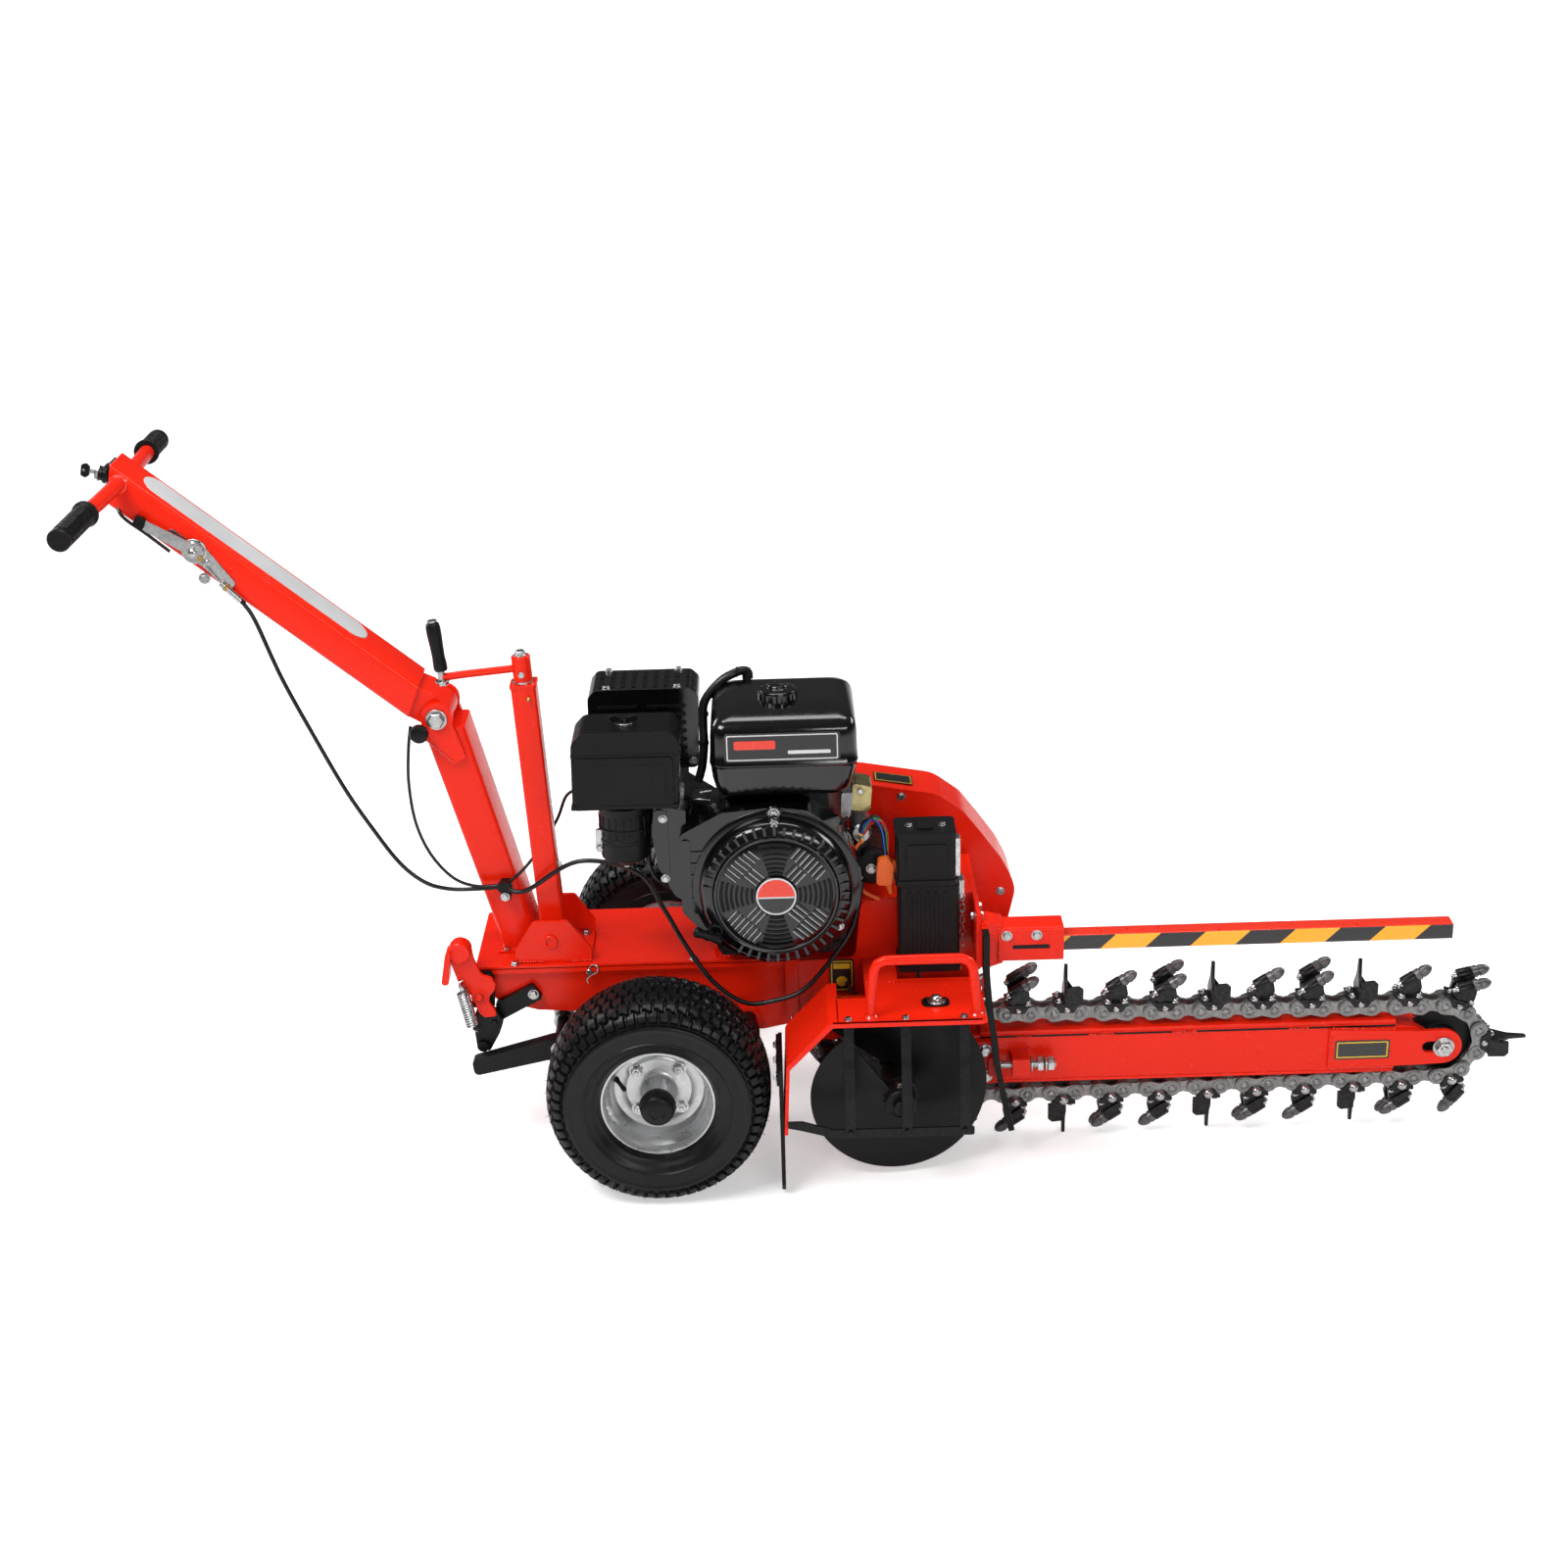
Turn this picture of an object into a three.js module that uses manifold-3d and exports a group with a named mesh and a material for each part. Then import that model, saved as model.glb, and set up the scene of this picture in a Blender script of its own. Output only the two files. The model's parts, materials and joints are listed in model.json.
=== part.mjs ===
// Walk-behind chain trencher, in millimetres. X points forward along the boom, away from the
// handle; Y points to the belt side ("far", with -Y "near"); Z is up.
// Pieces are drawn about the middle of the axle (X, Y); add() moves them to the base's middle.
import * as THREE from 'three';
import { mergeVertices } from 'three/addons/utils/BufferGeometryUtils.js';
import Module from 'manifold-3d';

const wasm = await Module();
wasm.setup();

// Driving dimensions; a place with two numbers is [x, z]
const WHEEL_Z = 190;
const WHEEL_Y = 297.5;
const TYRE_R = 188;
const AXLE = [0, WHEEL_Z];
const PITCH = 42;
const DRIVE_TEETH = 12;
const NOSE_TEETH = 10;
const pitchRadius = (teeth) => PITCH / (2 * Math.sin(Math.PI / teeth));
const DRIVE_R = pitchRadius(DRIVE_TEETH);
const NOSE_R = pitchRadius(NOSE_TEETH);
const DRIVE = [403, 165];
const NOSE = [1344.7, 167];
const CHAIN_Y = -160;
const SWING = [150, 215];
const CRANKSHAFT = [206, 507];
const JACKSHAFT = [490, 365];
const FOLD = [-356, 770];
const HANDLEBAR = [-838, 1187];
const COL_Y = -40;
const BOLT_Y = -213; // tension bolt's axis
const BOLT_Z = 167;
const BELT_Y = 111;
const REDUCTION_Y = -38;
const SIDES = [['near', -1], ['far', 1]];

// From the axle to the middle of the overall length, and the lowest tyre flat to Z 0
const TO_BASE = [-298.345, 0, TYRE_R - WHEEL_Z];

const PAINT = { color: 0xe2240a, roughness: 0.35, metalness: 0.1 };
const BLACK = { color: 0x0c0c0d, roughness: 0.3, metalness: 0.1 };
const MATT = { color: 0x161617, roughness: 0.6, metalness: 0.0 };
const STEEL = { color: 0x8d9094, roughness: 0.35, metalness: 0.9 };
const DARK = { color: 0x4a4c4e, roughness: 0.45, metalness: 0.8 };
const RUBBER = { color: 0x131313, roughness: 0.85, metalness: 0.0 };
const ZINC = { color: 0xb9bbbd, roughness: 0.35, metalness: 0.8 };
const GREY = { color: 0x26282b, roughness: 0.6, metalness: 0.0 };

const root = new THREE.Group();

function add(name, material, piece) {
  const mesh = piece.translate(TO_BASE).getMesh();
  const geometry = new THREE.BufferGeometry();
  const positions = Float32Array.from(mesh.vertProperties);
  geometry.setAttribute('position', new THREE.BufferAttribute(positions, 3));
  geometry.setIndex(new THREE.BufferAttribute(Uint32Array.from(mesh.triVerts), 1));
  geometry.computeVertexNormals();
  const part = new THREE.Mesh(geometry, new THREE.MeshStandardMaterial(material));
  part.name = name;
  root.add(part);
}

// ---- Solids ----
function solid(geometry) {
  const bare = geometry.clone();
  bare.deleteAttribute('normal');
  bare.deleteAttribute('uv');
  const merged = mergeVertices(bare, 1e-4);
  return new wasm.Manifold(new wasm.Mesh({
    numProp: 3,
    vertProperties: Float32Array.from(merged.attributes.position.array),
    triVerts: Uint32Array.from(merged.index.array),
  }));
}

// Solid whose triangles are flipped if they face inward
function outwardSolid(geometry) {
  const made = solid(geometry);
  if (made.volume() >= 0) return made;
  const index = geometry.index.array;
  for (let i = 0; i < index.length; i += 3) {
    [index[i], index[i + 1]] = [index[i + 1], index[i]];
  }
  return solid(geometry);
}

const join = (...parts) => parts.flat().reduce((sum, part) => sum.add(part));
const cut = (body, ...tools) => tools.flat().reduce((rest, tool) => rest.subtract(tool), body);
const vectors = (points) => points.map(([x, y]) => new THREE.Vector2(x, y));

function box(x0, x1, y0, y1, z0, z1) {
  const geometry = new THREE.BoxGeometry(x1 - x0, y1 - y0, z1 - z0);
  geometry.translate((x0 + x1) / 2, (y0 + y1) / 2, (z0 + z1) / 2);
  return solid(geometry);
}

// Outline of [x, z] points, extruded from y0 to y1
function slab(outline, y0, y1, holes = []) {
  const shape = new THREE.Shape(vectors(outline));
  shape.holes = holes.map((hole) => new THREE.Path(vectors(hole)));
  const geometry = new THREE.ExtrudeGeometry(shape, { depth: y1 - y0, bevelEnabled: false });
  geometry.rotateX(Math.PI / 2);
  geometry.translate(0, y1, 0);
  return solid(geometry);
}

const polar = (centre, radius, angle) => [
  centre[0] + radius * Math.cos(angle),
  centre[1] + radius * Math.sin(angle),
];
const ring = (centre, radius, sides, start = 0) => Array.from({ length: sides }, (_, i) =>
  polar(centre, radius, start + (i * 2 * Math.PI) / sides));
const rodY = (centre, radius, y0, y1, sides = 12) =>
  slab(ring(centre, radius, sides, Math.PI / sides), y0, y1);

function rod(from, to, radius, sides = 12) {
  const axis = new THREE.Vector3(...to).sub(new THREE.Vector3(...from));
  const length = axis.length();
  const geometry = new THREE.CylinderGeometry(radius, radius, length, sides, 1);
  const up = new THREE.Vector3(0, 1, 0);
  geometry.translate(0, length / 2, 0);
  geometry.applyQuaternion(new THREE.Quaternion().setFromUnitVectors(up, axis.normalize()));
  geometry.translate(...from);
  return solid(geometry);
}
const rodZ = ([x, y], radius, z0, z1, sides) => rod([x, y, z0], [x, y, z1], radius, sides);
const boltRod = (x0, x1, radius, sides) =>
  rod([x0, BOLT_Y, BOLT_Z], [x1, BOLT_Y, BOLT_Z], radius, sides);

// Profile of [radius, y] turned about an axis parallel to Y
function turned(centre, profile, segments, start = 0) {
  const geometry = new THREE.LatheGeometry(vectors([...profile, profile[0]]), segments, start);
  geometry.translate(centre[0], 0, centre[1]);
  return outwardSolid(geometry);
}

// Half profile of [radius, distance from the middle], completed by its mirror image
const symmetric = (half, middle) => [
  ...half.map(([radius, distance]) => [radius, middle - distance]),
  ...half.map(([radius, distance]) => [radius, middle + distance]).reverse(),
];

// Y range between two distances from the middle, on one side or on both
const spanOn = (side, inner, outer, middle = 0) =>
  [middle + side * inner, middle + side * outer].sort((a, b) => a - b);
const bothSides = (...distances) => [-1, 1].map((side) => spanOn(side, ...distances));

// Convex outline around two circles, as a tight belt lies on them
function aroundTwo(centre1, radius1, centre2, radius2, halfSides) {
  const points = [
    ...ring(centre1, radius1, halfSides * 2),
    ...ring(centre2, radius2, halfSides * 2),
  ].sort((p, q) => p[0] - q[0] || p[1] - q[1]);
  const turn = (a, b, c) => (b[0] - a[0]) * (c[1] - a[1]) - (b[1] - a[1]) * (c[0] - a[0]);
  const half = (list) => {
    const hull = [];
    for (const point of list) {
      while (hull.length > 1 && turn(hull.at(-2), hull.at(-1), point) <= 1e-6) hull.pop();
      hull.push(point);
    }
    hull.pop();
    return hull;
  };
  return [...half(points), ...half(points.reverse())];
}

// ---- Deck: plate with turned-down edges, side plates and two engine rails ----
const DECK_Z = 332;
const DECK_T = 6;
const DECK_HALF = 112;
const DECK_X0 = -318;
const DECK_X1 = 225;
const tubeSlot = box(-204, -156, COL_Y - 25, COL_Y + 25, 300, 345);
const sideRear = [[-316, 330], [-288, 262], [-214, 240], [-206, 330]];
const sideFront = [
  [-150, 330], [-150, 236], [100, 234], [125, 196], [175, 190], [225, 200], [225, 330],
];
add('deck_frame', PAINT, join(
  cut(box(DECK_X0, DECK_X1, -DECK_HALF, DECK_HALF, DECK_Z - DECK_T, DECK_Z), tubeSlot),
  bothSides(DECK_HALF - 5, DECK_HALF).map(([y0, y1]) =>
    box(DECK_X0, DECK_X1, y0, y1, DECK_Z - 14, DECK_Z - 1)),
  box(DECK_X0, DECK_X0 + 5, -DECK_HALF + 1, DECK_HALF - 1, DECK_Z - 14, DECK_Z - 1),
  bothSides(94, 100).flatMap((span) => [
    slab(sideRear, ...span),
    slab(sideFront, ...span, [ring(SWING, 16, 12)]),
  ]),
  box(96, DECK_X1, -96, -66, DECK_Z - 1, 352),
  box(96, DECK_X1, 26, 56, DECK_Z - 1, 352),
));

// ---- Drive housing, open above and below, with head-shaft bearing and boom fork ----
const sidePlate = [
  [225.6, 326], [338, 330], [350, 436], [548, 447], [548, 110], [330, 110], [225.6, 196],
];
const shaftHole = ring(DRIVE, 18, 12);
const bearing = cut(
  join(rodY(DRIVE, 44, -124, -110, 14), rodY(DRIVE, 30, -132, -123)),
  rodY(DRIVE, 14.5, -140, -100),
);
const boomFork = cut(join(
  box(500, 508, CHAIN_Y - 42, CHAIN_Y + 42, 120, 210),
  bothSides(30, 42, CHAIN_Y).map(([y0, y1]) => box(500, 572, y0, y1, 124, 206)),
  box(504, 538, -119, -110, 130, 200),
  box(560, 572, -222, -201, 150, 184), // lug for the tension bolt
), boltRod(540, 580, 6.6));
add('drive_housing', PAINT, join(
  slab(sidePlate, -112, -106, [shaftHole]),
  slab(sidePlate, 50, 56, [shaftHole, ring(JACKSHAFT, 16, 12)]),
  box(540, 548, -107, 51, 110, 447),
  box(540, 548, -204, -106, 350, 447),
  box(225.6, 231, -107, 51, 196, 326),
  bearing,
  boomFork,
));

// ---- Rear post, folding handle tube and the bolt between them ----
const POST_HALF = 46;
const POST_WALL = 5;
const POST_INNER = POST_HALF - POST_WALL;
const postOuter = [[-273, 332.4], [-382, 745], [-312, 750], [-209, 332.4]];
const postInner = [[-267.4, 331], [-362.5, 691], [-307.1, 691], [-214.4, 331]];
const lugFoot = [[-382, 762], [-380, 738], [-330, 690], [-306, 748], [-330, 770]];
const foldHole = rodY(FOLD, 9, -60, 60);
add('rear_post', PAINT, cut(join(
  cut(
    slab(postOuter, -POST_HALF, POST_HALF),
    rodY(FOLD, 28, -43, 43, 24),
    slab(postInner, -POST_INNER, POST_INNER),
  ),
  bothSides(44, 56).flatMap((span) => [rodY(FOLD, 27, ...span, 20), slab(lugFoot, ...span)]),
), foldHole));

const tubeOuter = [[-847, 1218], [-862, 1154], [-405, 768], [-382, 828]];
const tubeInner = [[-840, 1219], [-851.5, 1169], [-421, 805], [-404, 840]];
const tongue = [[-412, 776], [-362, 746], [-340, 789], [-390, 822]];
add('handle_tube', PAINT, cut(join(
  cut(slab(tubeOuter, -POST_HALF, POST_HALF), slab(tubeInner, -POST_INNER, POST_INNER)),
  rodY(FOLD, 25, -39, 39, 20),
  slab(tongue, -39, 39),
), foldHole, rodY(HANDLEBAR, 14.6, -60, 60, 16)));
add('fold_bolt', ZINC, join(
  rodY(FOLD, 8, -60, 62),
  bothSides(57, 66).map((span) => rodY(FOLD, 14, ...span, 6)),
));

// ---- Handlebar: straight middle, two swept ends and their grips ----
const barAt = (y) => [HANDLEBAR[0], y, HANDLEBAR[1]];
add('handlebar', PAINT, join(
  rod(barAt(-54), barAt(54), 13.5, 16),
  [-1, 1].map((side) => rod(barAt(side * 52), [-860.5, side * 314, 1172.3], 12.5)),
));
for (const [name, side] of SIDES) {
  const start = [-851, side * 198, 1180];
  const flangeEnd = [start[0] - 0.7, start[1] + side * 8, start[2] - 0.5];
  add('grip_' + name, RUBBER, cut(
    join(rod(start, [-861, side * 318, 1172], 17.5, 16), rod(start, flangeEnd, 21, 16)),
    rod(barAt(side * 52), [-860.7, side * 315, 1172.2], 13.8),
  ));
}

// ---- Controls: switches on the tube end, throttle and knob on its near side ----
add('key_switch', BLACK, join(
  rod([-855, -20, 1196], [-872, -20, 1200], 15, 16),
  rod([-868, -20, 1199], [-878, -20, 1201.3], 11),
  rod([-855.5, 12, 1196], [-872, 12, 1200], 9),
  box(-858, -855.3, -30, 20, 1186, 1206),
));
add('key', ZINC, join(
  rod([-878.6, -20, 1201.4], [-884, -20, 1202.7], 5, 10),
  box(-898, -882, -22, -18, 1192, 1213),
));
const THROTTLE = [-728, 1072];
const throttlePlate = [[-752, 1078], [-742, 1090], [-672, 1022], [-682, 1010]];
const throttleArm = [[-738, 1086], [-746, 1070], [-800, 1110], [-808, 1128], [-796, 1124]];
add('throttle_body', ZINC, join(
  rodY(THROTTLE, 20, -54, -46.5, 20),
  slab(throttlePlate, -53, -46.5),
  rod([-690, -52, 1018], [-660, -52, 986], 6, 10),
));
add('throttle_lever', ZINC, join(
  rodY(THROTTLE, 17, -62, -54.6, 16),
  slab(throttleArm, -60, -56),
));
add('lock_knob', BLACK, join(
  rod([-384, -57, 752], [-384, -64, 752], 6, 10),
  rod([-384, -63.5, 752], [-384, -86, 752], 15),
));

// ---- Jack: tilted column on a bracket; the crank arm carries the screw ----
const COL_HALF = 21;
const COL_TILT = Math.atan2(20.5, 431);
const COL_FOOT = [-184, 339];
const onColumn = (across, along) => [
  COL_FOOT[0] - along * Math.sin(COL_TILT) + across * Math.cos(COL_TILT),
  COL_FOOT[1] + along * Math.cos(COL_TILT) + across * Math.sin(COL_TILT),
];
function columnBox(half, from, to) {
  const corners = [[-half, from], [half, from], [half, to], [-half, to]];
  return slab(corners.map((corner) => onColumn(...corner)), COL_Y - half, COL_Y + half);
}
function columnRod(from, to, radius, sides = 16) {
  const [start, end] = [from, to].map((along) => {
    const [x, z] = onColumn(0, along);
    return [x, COL_Y, z];
  });
  return rod(start, end, radius, sides);
}
add('jack_column', PAINT, cut(
  columnBox(COL_HALF, 1.5, 487),
  columnBox(17.5, -5, 481),
  columnRod(470, 500, 9.5),
));

const BRACKET_PIN = [-187, 372];
const bracketNear = [
  [-249, 332.4], [-249, 355], [-215, 409], [-155, 409], [-117, 357], [-117, 332.4],
];
const bracketFar = [
  [-199, 332.4], [-199, 396], [-186, 409], [-155, 409], [-117, 357], [-117, 332.4],
];
add('column_bracket', PAINT, cut(join(
  slab(bracketNear, -100, -92),
  slab(bracketFar, 12, 20),
  box(-249, -117, -93, -48, 332.4, 338.4),
  box(-204, -117, -93, 13, 332.4, 338.4),
  rodY(BRACKET_PIN, 12, -93, COL_Y - COL_HALF - 0.5, 16),
  rodY(BRACKET_PIN, 12, COL_Y + COL_HALF + 0.5, 13, 16),
), tubeSlot));
add('jack_inner_tube', STEEL, cut(columnBox(16.5, -150, 260), columnRod(-60, 270, 9.5)));

const CRANK_HUB_TOP = 535;
const [hubX, hubZ] = onColumn(0, CRANK_HUB_TOP);
const crankPin = rod([-337, -78, 858], [-346, -78, 950], 5, 10);
const gripBore = rod([-337, -78, 858], [-346, -78, 950], 6, 10);
add('crank_arm', PAINT, join(
  columnRod(489, CRANK_HUB_TOP, 16),
  columnRod(20, 495, 7, 12),
  rod([hubX + 1, COL_Y, hubZ - 18], [-337, -78, 852], 6.5),
  rodZ([-337, -78], 9, 842, 862),
  crankPin,
));
add('crank_grip', RUBBER, cut(rod([-337.6, -78, 864], [-345.8, -78, 948], 11, 14), gripBore));

// ---- Axle carrier: axle, pivot tube, side arms, near tail bar and the jack's cross pin ----
const carrierArm = [
  [-24, 170], [-24, 212], [140, 232], [166, 226], [166, 204], [140, 198], [20, 168],
];
const tailBar = [[-330, 178], [-187, 217], [0, 214], [0, 172], [-198, 175], [-327, 148]];
add('axle_carrier', BLACK, join(
  rodY(AXLE, 12.5, -300, 300, 16),
  rodY(AXLE, 22, -205, 205, 16),
  rodY(SWING, 13.5, -165, 165, 16),
  bothSides(150, 165).map((span) => slab(carrierArm, ...span)),
  slab(tailBar, -164, -142),
  rodY([-178, 196], 11, -150, COL_Y - 18),
));

// ---- Wheels ----
const TYRE_SIDES = 22;
// Half tyre: [radius, distance from the tyre's middle]
const tyreHalf = [[93.6, 48], [101, 66], [130, 77.5], [160, 76], [180, 62], [TYRE_R, 34]];
// Rim: [radius, distance from the wheel's middle towards the machine]
const rimProfile = [
  [16, 60], [27, 60], [27, 4], [70, 4], [82, 40],
  [91.5, 47], [91.5, -48], [82, -48], [70, -2], [16, -2],
];
for (const [name, side] of SIDES) {
  // Flats of the tyre lie at its true radius, with one of them on the ground
  const flatHalf = tyreHalf.map(([radius, y]) => [radius / Math.cos(Math.PI / TYRE_SIDES), y]);
  const tyre = symmetric(flatHalf, side * WHEEL_Y);
  add('tyre_' + name, RUBBER, turned(AXLE, tyre, TYRE_SIDES, Math.PI / TYRE_SIDES));
  const rim = rimProfile.map(([radius, inward]) => [radius, side * (WHEEL_Y - inward)]);
  add('rim_' + name, ZINC, join(turned(AXLE, rim, 18), cut(
    rodY(AXLE, 29, ...spanOn(side, WHEEL_Y, WHEEL_Y + 40), 16),
    rodY(AXLE, 16, ...spanOn(side, WHEEL_Y - 5, WHEEL_Y + 20), 16),
  )));
}

// ---- Foot latch on the near side: bracket, lever hooked over the tail bar, spring ----
const LATCH = [-311, 290];
const latchPlate = [[-323, 317.6], [-300, 317.6], [-296, 300], [-296, 262], [-323, 276]];
const latchLever = [
  [-352, 400], [-332, 402], [-322, 388], [-330, 366], [-318, 352],
  [-285, 314], [-293, 289], [-290, 254], [-312, 250], [-316, 286],
  [-332, 316], [-362, 322], [-366, 332], [-344, 346], [-354, 372],
];
add('latch_bracket', PAINT, join(
  slab(latchPlate, -126, -118),
  box(-323, -296, -119, -100.4, 288, 300),
  rodY(LATCH, 6, -146, -124),
  rodY(LATCH, 10, -147, -141, 6),
));
add('foot_latch', PAINT, cut(slab(latchLever, -140, -132), rodY(LATCH, 7, -150, -120)));
add('latch_spring', ZINC, rod([-338, -151, 312], [-324, -151, 236], 9, 10));

// ---- Engine ----
const blockOutline = [
  [104, 352.6], [320, 352.6], [328, 400], [332, 600], [250, 640],
  [40, 646], [4, 600], [10, 500], [80, 430],
];
add('engine_block', DARK, cut(join(
  slab(blockOutline, -128, 60),
  box(110, 300, -60, 40, 638, 678),
  box(130, 300, -70, 30, 677, 683.5),
  rodY(CRANKSHAFT, 34, 59, 65, 20),
  box(4, 60, -30, 40, 560, 632),
), rodY(CRANKSHAFT, 13.5, 40, 70, 16)));

const shroudOuter = [
  [48, 604], [48, 464], [84, 424], [110, 404], [206, 420], [206, 648], [120, 640],
];
const shroudInner = [
  [52, 600], [52, 466], [86, 428], [111, 409], [206, 426], [206, 643], [121, 636],
];
add('fan_shroud', BLACK, cut(
  join(slab(shroudOuter, -200, -128.5), rodY(CRANKSHAFT, 141, -200, -128.5, 24)),
  slab(shroudInner, -196, -120),
  rodY(CRANKSHAFT, 137, -196, -120, 24),
  rodY(CRANKSHAFT, 96, -204, -190, 20),
));

// [radius, y]
const recoilProfile = [
  [0.01, -232], [60, -235], [104, -233], [122, -222], [128, -200.5], [0.01, -200.5],
];
add('recoil_cover', MATT, join(
  turned(CRANKSHAFT, recoilProfile, 20),
  rodY([104, 444], 13, -228, -200.5),
));
add('starter_grip', MATT, join(
  rod([94, -242, 441], [94, -229, 441], 4, 8),
  rod([70, -242, 450], [114, -242, 432], 9, 10),
));

const FILLER = [218, -105]; // x, y
const tankOuter = [
  [112, 684], [106, 735], [112, 775], [126, 793], [140, 800],
  [325, 800], [338, 790], [343, 735], [338, 684],
];
const tankInner = [
  [115, 687], [109, 735], [115, 773.5], [128.5, 790.5], [141, 797],
  [324, 797], [335.5, 788], [340, 735], [335, 687],
];
add('fuel_tank', BLACK, cut(
  join(slab(tankOuter, -188, 24), rodZ(FILLER, 26, 798, 812, 20)),
  slab(tankInner, -185, 21),
  rodZ(FILLER, 21, 790, 815, 20),
));
add('fuel_cap', MATT, cut(
  join(rodZ(FILLER, 34, 803, 826, 20), rodZ(FILLER, 16, 824, 832, 12)),
  rodZ(FILLER, 27, 798, 813, 20),
));

// Covers open at the bottom: air filter and muffler
const filterOuter = [[-124, 652], [-121, 768], [-104, 785], [40, 785], [56, 766], [48, 650]];
const filterInner = [
  [-121, 640], [-118, 766.8], [-102.8, 782], [38.6, 782], [53, 765], [45, 640],
];
add('air_filter_cover', MATT, cut(slab(filterOuter, -190, -92), slab(filterInner, -187, -95)));
add('air_filter_base', MATT, cut(
  join(rodZ([-43, -150], 42, 560, 649.5, 20), box(-60, 3.5, -140, -92, 600, 649.5)),
  rodZ([-43, -150], 34, 550, 575, 16),
));
const mufflerOuter = [[-106, 656], [-104, 786], [-92, 800], [70, 800], [84, 786], [80, 656]];
const mufflerInner = [[-103, 640], [-101, 785], [-90.6, 797], [68.6, 797], [81, 785], [77, 640]];
add('muffler_cover', BLACK, cut(slab(mufflerOuter, -24, 83), slab(mufflerInner, -21, 80)));
add('starter_motor', DARK, join(
  rodY([368, 500], 31, -120, 20, 16),
  rodY([352, 560], 18, -110, -30),
  box(344, 362, -100, -40, 520, 556),
));

const PULLEY_R = 60;
const DRIVEN_R = 124;
const pulley = (centre, radius, bore, segments) => turned(centre, symmetric([
  [bore, 17], [radius, 17], [radius, 13], [radius - 12, 11],
], BELT_Y), segments);
add('engine_pulley', DARK, join(
  rodY(CRANKSHAFT, 12.5, 66.5, 132, 16),
  pulley(CRANKSHAFT, PULLEY_R, 10, 16),
));

// ---- Battery and its box, on the near side of the housing ----
add('battery_box', GREY, cut(
  join(box(408, 506, -190, -113, 495, 590), box(412, 516, -190, -113, 338, 496)),
  box(416, 512, -186, -117, 330, 480),
  box(412, 502, -186, -117, 470, 585),
));
add('battery', MATT, box(420, 508, -182, -121, 342, 470));

// ---- Belt drive and reduction ----
const coverOuter = [
  [135, 440], [135, 585], [250, 584], [363, 579], [492, 556], [540, 520], [571, 479],
  [606, 430], [621, 400], [632, 371], [618, 309], [590, 230], [560, 205], [480, 205],
];
const coverInner = [
  [139, 442], [139, 581], [250, 580], [362, 575], [490, 552.5], [537, 517.5], [568, 476.5],
  [602.5, 428], [617, 399], [628, 371], [614, 310], [587, 233], [558, 209], [481, 209],
];
// Shell closed on the frame side by a plate with clearance holes for the two shafts
add('belt_cover', PAINT, join(
  cut(slab(coverOuter, 70, 175), slab(coverInner, 60, 171)),
  cut(
    slab(coverOuter, 66, 70.5),
    rodY(CRANKSHAFT, 40, 60, 75, 24),
    rodY(JACKSHAFT, 17, 60, 75, 20),
  ),
));
add('driven_pulley', DARK, pulley(JACKSHAFT, DRIVEN_R, 12.6, 24));
const beltLine = (depth) =>
  aroundTwo(CRANKSHAFT, PULLEY_R - depth, JACKSHAFT, DRIVEN_R - depth, 12);
add('drive_belt', RUBBER, slab(beltLine(2), BELT_Y - 10, BELT_Y + 10, [beltLine(10)]));
add('jackshaft', STEEL, join(
  rodY(JACKSHAFT, 12, -60, 150, 16),
  rodY(JACKSHAFT, 33, REDUCTION_Y - 6, REDUCTION_Y + 6, 16),
  rodY(JACKSHAFT, 20, -56, -20, 16),
));
add('reduction_chain', DARK, slab(
  aroundTwo(JACKSHAFT, 46, DRIVE, 126, 10),
  REDUCTION_Y - 7,
  REDUCTION_Y + 7,
  [aroundTwo(JACKSHAFT, 35, DRIVE, 114.5, 10)],
));
add('large_sprocket', DARK, turned(DRIVE, symmetric([[13.1, 6], [112, 6]], REDUCTION_Y), 24));
add('head_shaft', STEEL, rodY(DRIVE, 12.5, -352, 70, 16));

// Teeth stop just inside the chain pins, so the sprocket can turn while the loop stands still
const TIP = -7.6; // from the pitch circle
const ROOT = -16;
// [share of half a tooth pitch, distance from the pitch circle]
const toothPoints = [[-0.62, ROOT], [-0.24, TIP], [0.24, TIP], [0.62, ROOT]];
const driveOutline = Array.from({ length: DRIVE_TEETH }, (_, i) => {
  const middle = Math.PI / 2 + (i * 2 * Math.PI) / DRIVE_TEETH;
  return toothPoints.map(([share, rise]) =>
    polar(DRIVE, DRIVE_R + rise, middle + share * Math.PI / DRIVE_TEETH));
}).flat();
add('drive_sprocket', DARK,
  slab(driveOutline, CHAIN_Y - 5, CHAIN_Y + 5, [ring(DRIVE, 13.4, 16)]));

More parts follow.
